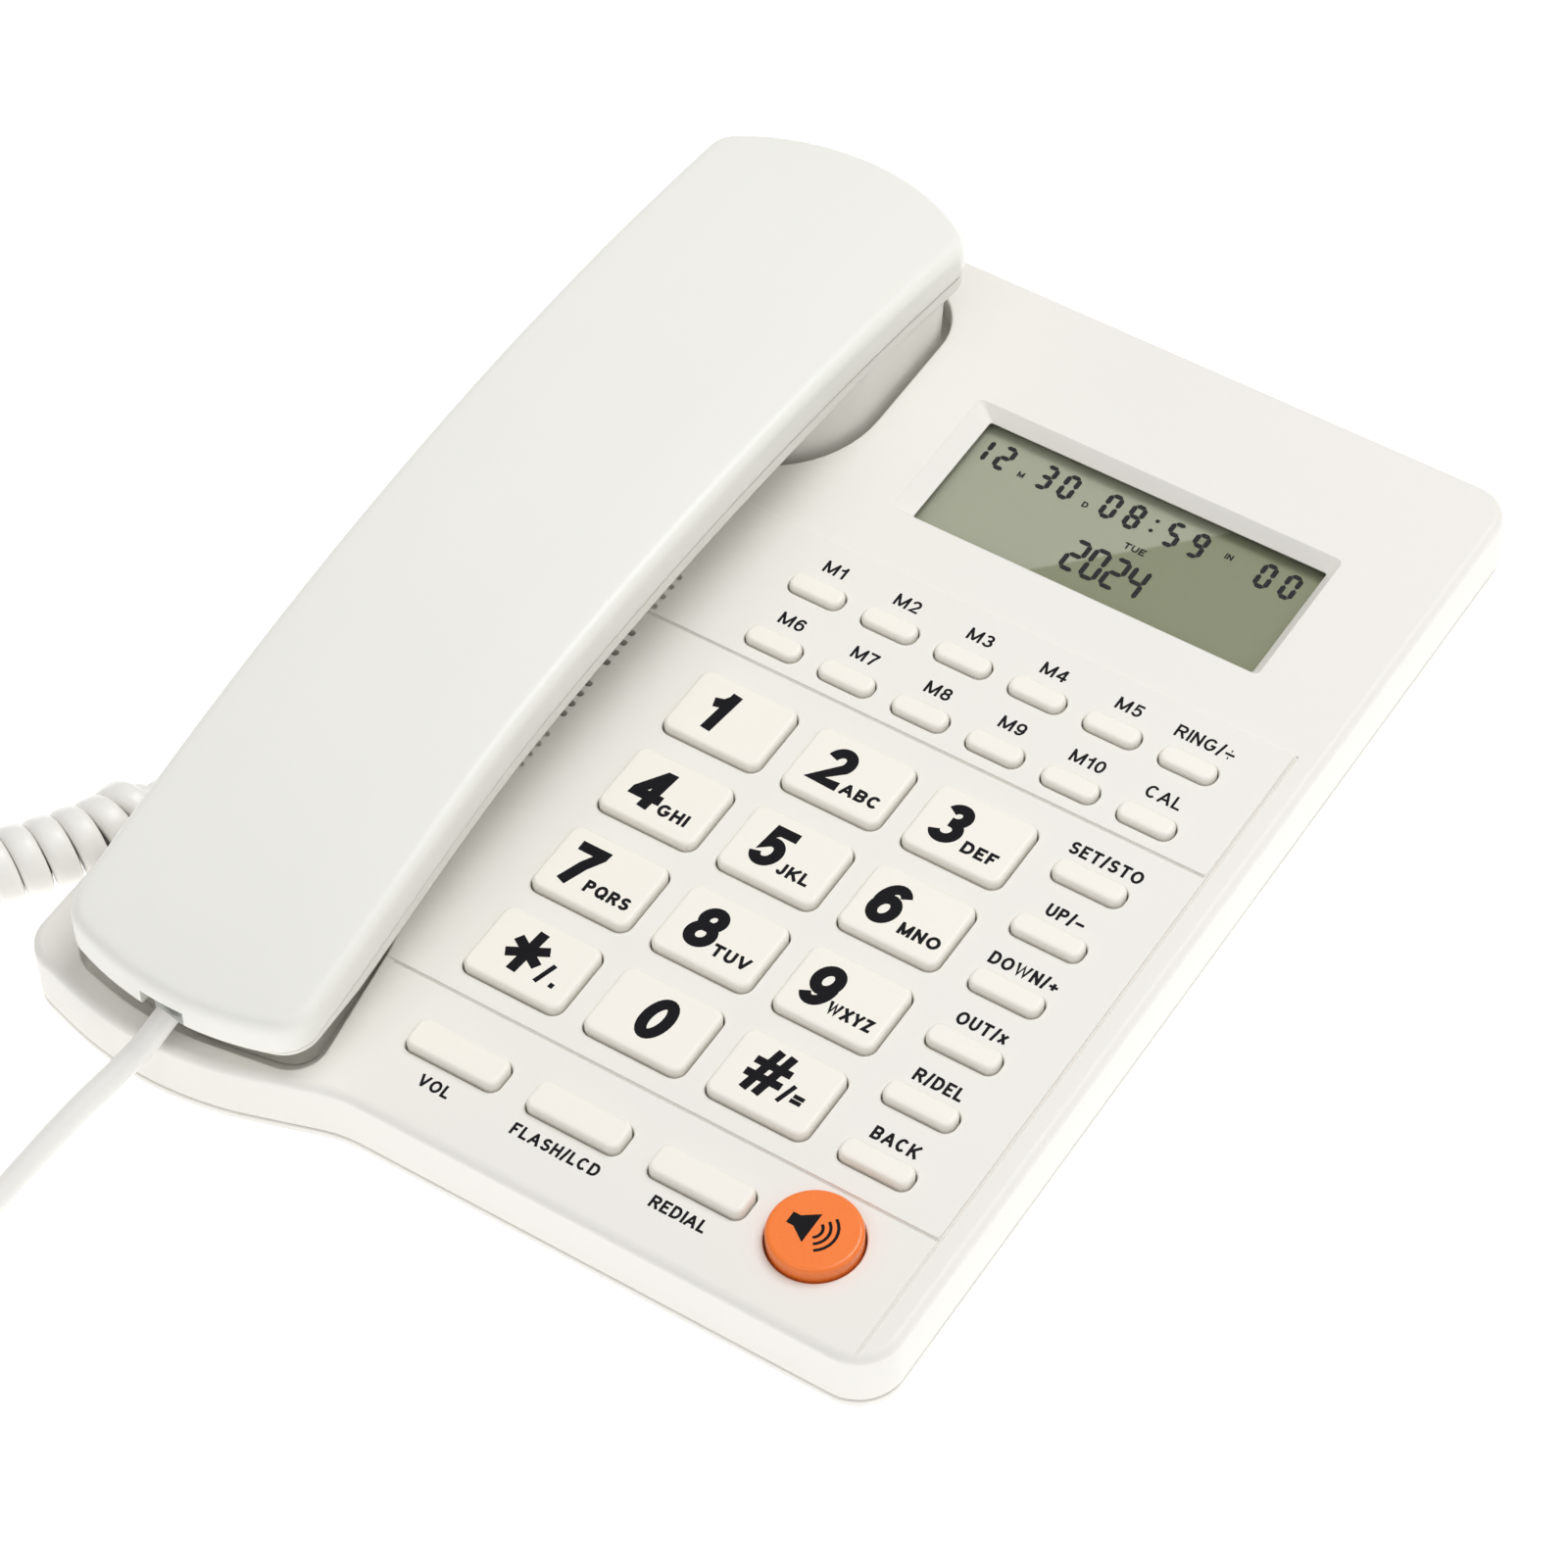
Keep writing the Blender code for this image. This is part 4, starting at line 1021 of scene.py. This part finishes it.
def handset_end(end, towards, step_in):
    """One end of the handset's right half, from its middle to its side: an arc, then a rounded corner."""
    tip, radius, corner = end
    centre = tip + towards * radius
    radius -= step_in
    corner = max(corner - step_in, 1.0)
    corner_y = tip
    for _ in range(8):
        corner_x = handset_half_width(corner_y) - step_in - corner
        corner_y = centre - towards * math.sqrt((radius - corner) ** 2 - corner_x**2)
    last = math.asin(corner_x / (radius - corner))
    points = []
    for k in range(9):
        angle = last * (k + 0.5) / 8.5
        points.append((radius * math.sin(angle), centre - towards * radius * math.cos(angle)))
    for k in range(1, 13):
        angle = last + (math.pi / 2 - last) * k / 12
        points.append((corner_x + corner * math.sin(angle), corner_y - towards * corner * math.cos(angle)))
    return points


def handset_ring(above, step_in, inside=False):
    """The handset's outline at a height over its arch, stepped in from its edge. Its two sides mirror."""
    front = handset_end(HANDSET_FRONT, 1, step_in)
    rear = handset_end(HANDSET_REAR, -1, step_in)
    first, last = front[-1][1], rear[-1][1]
    side = [first + (last - first) * i / 48 for i in range(1, 48)]
    half = front + [(handset_half_width(y) - step_in, y) for y in side] + rear[::-1]
    right = [(handset_middle(y) + u, y, handset_height(above, y, inside)) for u, y in half]
    left = [(handset_middle(y) - u, y, handset_height(above, y, inside)) for u, y in half[::-1]]
    return right + left


def flowing(points, count):
    """Points evenly along a smooth curve through the given ones."""
    ends = [Vector(p) for p in points]
    ends = [ends[0] * 2 - ends[1], *ends, ends[-1] * 2 - ends[-2]]
    dense = []
    for a, b, c, d in zip(ends, ends[1:], ends[2:], ends[3:]):
        for k in range(24):
            t = k / 24
            bend, twist = 2 * a - 5 * b + 4 * c - d, 3 * b - a - 3 * c + d
            dense.append(0.5 * (2 * b + (c - a) * t + bend * t**2 + twist * t**3))
    dense.append(Vector(points[-1]))
    length = sum((q - p).length for p, q in zip(dense, dense[1:]))
    picked, walked, at = [dense[0]], 0.0, 1
    for p, q in zip(dense, dense[1:]):
        step = (q - p).length
        while at < count and walked + step >= at * length / count:
            picked.append(p.lerp(q, (at * length / count - walked) / step))
            at += 1
        walked += step
    return picked + [dense[-1]]


def add_outer_shell():
    inside = [(SEAM + 5.7, 13.0), (SEAM + 5.4, 6.0), (SEAM + 4.4, 2.5), (SEAM, 2.3), (SEAM, 0.3)]
    outside = [(SEAM + 0.3, 0.0), (SEAM + 3.0, 0.03), (SEAM + 5.0, 0.1), (SEAM + 6.2, 0.5)]
    outside += [(SEAM + 6.9, 1.2), (SEAM + 7.1, 2.2), (SEAM + 7.2, 4.0)]
    outside += [(SEAM + 7.35, 7.5), (SEAM + 7.55, 13.0)]
    rings = [handset_ring(above, step_in) for above, step_in in inside]
    rings += [handset_ring(above, step_in) for above, step_in in flowing(outside, 26)]
    shell = loft(rings, ladder=True)
    shell = combined(shell, block(NOTCH_X - 4.2, -97, 2, NOTCH_X + 4.2, -90, 10.4, 0.6))
    piece("handset_back", shell, HANDSET_IVORY, "handset", ["handset_outer_shell"], 50)


def cup(corners, step_in, bottom, top, foot=0.0):
    """One of the handset's two cups, narrower at the bottom, with a rounded lower edge of that radius."""
    outline = rounded(corners, 14)
    rings = []
    if foot:
        for k in range(5):
            angle = math.pi / 2 * k / 4
            grow = foot * (1 - math.sin(angle))
            rings.append(level(inset(outline, step_in + 0.8 + grow), bottom + foot * (1 - math.cos(angle))))
    else:
        rings.append(level(inset(outline, step_in + 0.8), bottom))
    rings.append(level(inset(outline, step_in), top))
    return loft(rings)


def add_inner_shell():
    inside = [(SEAM - 2.7, 12.0), (SEAM - 2.5, 8.0), (SEAM - 1.8, 3.4)]
    inside += [(SEAM - 0.55, 2.5), (SEAM - 0.55, 0.6)]
    outside = [(SEAM - 0.8, 0.3), (SEAM - 2.2, 0.32), (SEAM - 3.2, 0.45), (SEAM - 4.0, 0.95)]
    outside += [(SEAM - 4.5, 2.2), (SEAM - 4.65, 5.0), (SEAM - 4.75, 8.0), (SEAM - BAND, 12.0)]
    rings = [handset_ring(above, step_in, True) for above, step_in in inside]
    rings += [handset_ring(above, step_in) for above, step_in in flowing(outside, 20)]
    shell = loft(rings, ladder=True)
    both = (EAR_CUP, MOUTH_CUP)
    cups = [cup(corners, 0, CUP_BOTTOM, lambda y: SEAM - 1.6 + arch(y), 1.0) for corners in both]
    shell = combined(shell, merged(cups), "UNION")
    hollows = [cup(corners, 2, CUP_BOTTOM + 1.8, lambda y: SEAM + 3 + arch(y)) for corners in both]
    shell = combined(shell, merged(hollows))
    cuts = [block(NOTCH_X - 4.4, -97, 2.2, NOTCH_X + 4.4, -84, 12)]
    for i, j in ((i, j) for i in range(-2, 3) for j in range(-2, 3)):
        if abs(i) + abs(j) < 4:
            cuts.append(prism(circle(-33 + i * 3.2, 82 + j * 3.2, 0.8, 16), CUP_BOTTOM - 1, CUP_BOTTOM + 3))
    for i in range(-1, 2):
        x = -32 + i * 3.0
        cuts.append(block(x - 0.6, -67, CUP_BOTTOM - 1, x + 0.6, -61, CUP_BOTTOM + 3, 0.55))
    shell = combined(shell, merged(cuts))
    # The face's ivory carries painted shade, darker than the handset's back
    piece("handset_face", shell, FACE_IVORY_PAINTED_SHADE, "handset", ["handset_inner_shell"], 50)


# The cord -----------------------------------------------------------------------------------------


def route(points, z_at_none):
    return [Vector((x, y, z_at_none if h is None else height(h, y))) for x, y, h in points]


def frames_along(line, outward):
    """For each point of a line, two directions square to it. One follows outward where that is given,
    and elsewhere turns as little as possible from its neighbour."""
    count = len(line)
    ahead = [(line[min(i + 1, count - 1)] - line[max(i - 1, 0)]).normalized() for i in range(count)]
    sides = list(outward)
    known = [i for i in range(count) if sides[i] is not None]
    first, last = known[0], known[-1]
    for i in known:
        sides[i] = (sides[i] - ahead[i] * sides[i].dot(ahead[i])).normalized()
    for order, step in ((range(first - 1, -1, -1), 1), (range(last + 1, count), -1)):
        for i in order:
            side = sides[i + step]
            sides[i] = (side - ahead[i] * side.dot(ahead[i])).normalized()
    return [(side, way.cross(side)) for way, side in zip(ahead, sides)]


def cord_path():
    """The wire's middle from the handset's plug, through every turn of the coil, to the base's plug, and
    for each point its way out from the coil's middle and how far its section is a flattened one."""
    lead = flowing(route(HANDSET_LEAD, HANDSET_PLUG_Z), 30)
    axis = route([(x, y, COIL_HEIGHT) for x, y in COIL_PLAN], 0.0)
    rough = flowing(axis, 60)
    length = sum((b - a).length for a, b in zip(rough, rough[1:]))
    turns = round(length / COIL_PITCH)
    line = flowing(axis, turns * TURN_STEPS)
    upward = [Vector((0, 0, 1))] * len(line)
    coil, outward, flat = [], [], []
    for i, (point, (side, other)) in enumerate(zip(line, frames_along(line, upward))):
        turn = i / TURN_STEPS
        ease = min(1.0, 2 * turn, 2 * (turns - turn))
        ease = ease * ease * (3 - 2 * ease)
        angle = 2 * math.pi * turn
        out = side * math.cos(angle) + other * math.sin(angle)
        coil.append(point + out * (COIL_RADIUS - WIRE_RADIUS) * ease)
        outward.append(out)
        flat.append(ease)
    tail = flowing(route(BASE_LEAD, BASE_JACK_Z), 50)
    points = lead + coil[1:-1] + tail
    outward = [None] * len(lead) + outward[1:-1] + [None] * len(tail)
    flat = [0.0] * len(lead) + flat[1:-1] + [0.0] * len(tail)
    return points, outward, flat


def tube(line, outward, flat, radius, sides=16):
    """A wire along a line: round, but squarer in section where flat is 1."""
    mesh = bmesh.new()
    rows = []
    for point, (side, other), square in zip(line, frames_along(line, outward), flat):
        power = 2.0 + 1.6 * square
        ring = []
        for k in range(sides):
            angle = 2 * math.pi * (k + 0.5) / sides
            cos, sin = math.cos(angle), math.sin(angle)
            reach = radius / (abs(cos) ** power + abs(sin) ** power) ** (1 / power)
            out = side * (cos * (1 - 0.08 * square)) + other * (sin * (1 + 0.14 * square))
            ring.append(mesh.verts.new(point + out * reach))
        rows.append(ring)
    for a, b in zip(rows, rows[1:]):
        for i in range(sides):
            j = (i + 1) % sides
            mesh.faces.new((a[i], a[j], b[j], b[i]))
    mesh.faces.new(rows[0])
    mesh.faces.new(rows[-1])
    bmesh.ops.recalc_face_normals(mesh, faces=mesh.faces[:])
    return mesh


def modular_plug(tail, ahead, name, body):
    """A clear modular plug with gold contacts and a latch, its cord end at tail."""
    side = Vector((ahead.y, -ahead.x, 0))
    turn = Matrix((side, ahead, Vector((0, 0, 1)))).transposed().to_4x4()
    place_at = Matrix.Translation(tail) @ turn
    shell = block(-3.6, 0, -3.1, 3.6, 12.4, 3.1)
    shell = combined(shell, block(-2.2, 9.0, 1.6, 2.2, 13.0, 4.0))
    shell.transform(place_at)
    latch = loft([
        [(-1.6, 12.3, -3.1), (1.6, 12.3, -3.1), (1.6, 12.3, -2.4), (-1.6, 12.3, -2.4)],
        [(-1.6, 6.0, -3.5), (1.6, 6.0, -3.5), (1.6, 6.0, -2.9), (-1.6, 6.0, -2.9)],
        [(-1.6, 0.6, -3.7), (1.6, 0.6, -3.7), (1.6, 0.6, -3.1), (-1.6, 0.6, -3.1)],
    ])
    latch.transform(place_at)
    shell = combined(shell, latch, "UNION")
    crimp = piece(f"{name}_shell", shell, NYLON, body, [name])
    pins = merged([block(x - 0.22, 9.2, 0.8, x + 0.22, 12.2, 2.6) for x in (-1.5, -0.5, 0.5, 1.5)])
    pins.transform(place_at)
    return [crimp, piece(f"{name}_contacts", pins, GOLD, body)]


def add_cord():
    path, outward, flat = cord_path()
    obj = piece("cord", tube(path, outward, flat, WIRE_RADIUS), VINYL, None, [], 60)
    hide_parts("handset_lead", "coiled_cord", "base_lead")
    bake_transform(obj)
    front, side = Vector((NOTCH_X, -91.8, HANDSET_PLUG_Z)), Vector((-52.2, BASE_JACK_Y, BASE_JACK_Z))
    plugs = modular_plug(front, Vector((0, 1, 0)), "handset_plug", "handset")
    plugs += modular_plug(side, Vector((1, 0, 0)), "base_plug", "base")


def add_hook():
    outline = rectangle(-38, 65.5, -28, 71, 0.8, 4)
    button = loft([level(outline, -11.3)] + quarter(0.8, 4, -6.05, outline))
    piece("hook_button", button, IVORY, "hook", ["hook_plunger"])


def add_jack_contacts():
    """The four sprung wires in each modular jack, slanting in from its mouth."""
    for name, body in (("line_jack", "base"), ("base_cord_jack", "base"), ("handset_cord_jack", "handset")):
        low, high = (PANEL.inverted() @ Vector(corner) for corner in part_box(name))
        middle = (low + high) / 2
        wires = []
        for i in range(4):
            shift = (i - 1.5) * 1.02
            if name == "base_cord_jack":
                line = [(low.x + 1.0, 2.6), (low.x + 5.0, 1.9), (low.x + 9.5, 0.6)]
                points = [Vector((x, middle.y + shift, middle.z + z)) for x, z in line]
            else:
                start, way = (high.y, -1) if name == "line_jack" else (low.y, 1)
                line = [(start + way * 1.0, 2.6), (start + way * 5.0, 1.9), (start + way * 9.5, 0.6)]
                points = [Vector((middle.x + shift, y, middle.z + z)) for y, z in line]
            wires.append(tube(flowing(points, 8), [Vector((0, 0, 1))] * 9, [0.0] * 9, 0.2, 8))
        piece(f"{name}_wires", merged(wires), GOLD, body)


def dress_cad():
    """A worked material on each CAD node that stays in sight or inside."""
    looks = {
        "contact_mat": RUBBER,
        "main_board": BOARD,
        "loudspeaker": BLACK,
        "line_jack": BLACK,
        "base_cord_jack": BLACK,
        "handset_cord_jack": BLACK,
        "receiver_capsule": CAN,
        "microphone_capsule": CAN,
        "handset_weight": STEEL,
    }
    for name, look in looks.items():
        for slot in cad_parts[name].material_slots:
            slot.material = look


# The stage ----------------------------------------------------------------------------------------


def add_camera():
    right, down = Vector(CAMERA_RIGHT), Vector(CAMERA_DOWN)
    up = -down
    back = right.cross(up)
    turn = Matrix((right, up, back)).transposed().to_4x4()
    camera = bpy.data.cameras.new("camera")
    camera.lens = CAMERA_LENS
    camera.sensor_width = 36.0
    camera.clip_start = 0.05
    camera.clip_end = 20.0
    obj = bpy.data.objects.new("camera", camera)
    world = PANEL @ Matrix.Translation(CAMERA_PLACE) @ turn
    obj.location = world.translation
    obj.rotation_euler = world.to_euler()
    bpy.context.scene.collection.objects.link(obj)
    bpy.context.scene.camera = obj


def add_light(name, place_at, size, energy):
    """A round soft light, turned to the middle of the floor."""
    light = bpy.data.lights.new(name, "AREA")
    light.shape = "DISK"
    light.size = size
    light.energy = energy
    obj = bpy.data.objects.new(name, light)
    obj.location = place_at
    obj.rotation_euler = (-Vector(place_at)).to_track_quat("-Z", "Y").to_euler()
    bpy.context.scene.collection.objects.link(obj)


def add_stage():
    mesh = bmesh.new()
    corners = [(x * FLOOR_HALF, y * FLOOR_HALF, -0.0002) for x, y in ((-1, -1), (1, -1), (1, 1), (-1, 1))]
    mesh.faces.new([mesh.verts.new(corner) for corner in corners])
    data = bpy.data.meshes.new("floor")
    mesh.to_mesh(data)
    mesh.free()
    made, tree, shader = shader_nodes("floor_paper", 0.9)
    grain = noise(tree, 400.0)
    paper = between(tree, grain.outputs["Fac"], (0.93, 0.93, 0.93), (0.95, 0.95, 0.95))
    tree.links.new(paper, shader.inputs["Base Color"])
    shader.inputs["Emission Color"].default_value = (1, 1, 1, 1)
    shader.inputs["Emission Strength"].default_value = FLOOR_GLOW
    data.materials.append(made)
    obj = bpy.data.objects.new("floor", data)
    bpy.context.scene.collection.objects.link(obj)
    world = bpy.data.worlds.new("studio")
    world.use_nodes = True
    world.node_tree.nodes["Background"].inputs["Color"].default_value = (1.0, 1.0, 1.0, 1)
    world.node_tree.nodes["Background"].inputs["Strength"].default_value = SKY_STRENGTH
    bpy.context.scene.world = world
    bpy.context.scene.view_settings.view_transform = "Standard"
    for name, (place_at, size, energy) in LIGHTS.items():
        add_light(name, place_at, size, energy)


add_camera()
add_stage()
add_cord()
add_top_cover()
add_bottom_shell()
add_underside()
add_panel_lettering()
add_keys()
add_key_lettering()
add_speaker_icon()
add_display()
add_outer_shell()
add_inner_shell()
add_hook()
add_jack_contacts()
dress_cad()
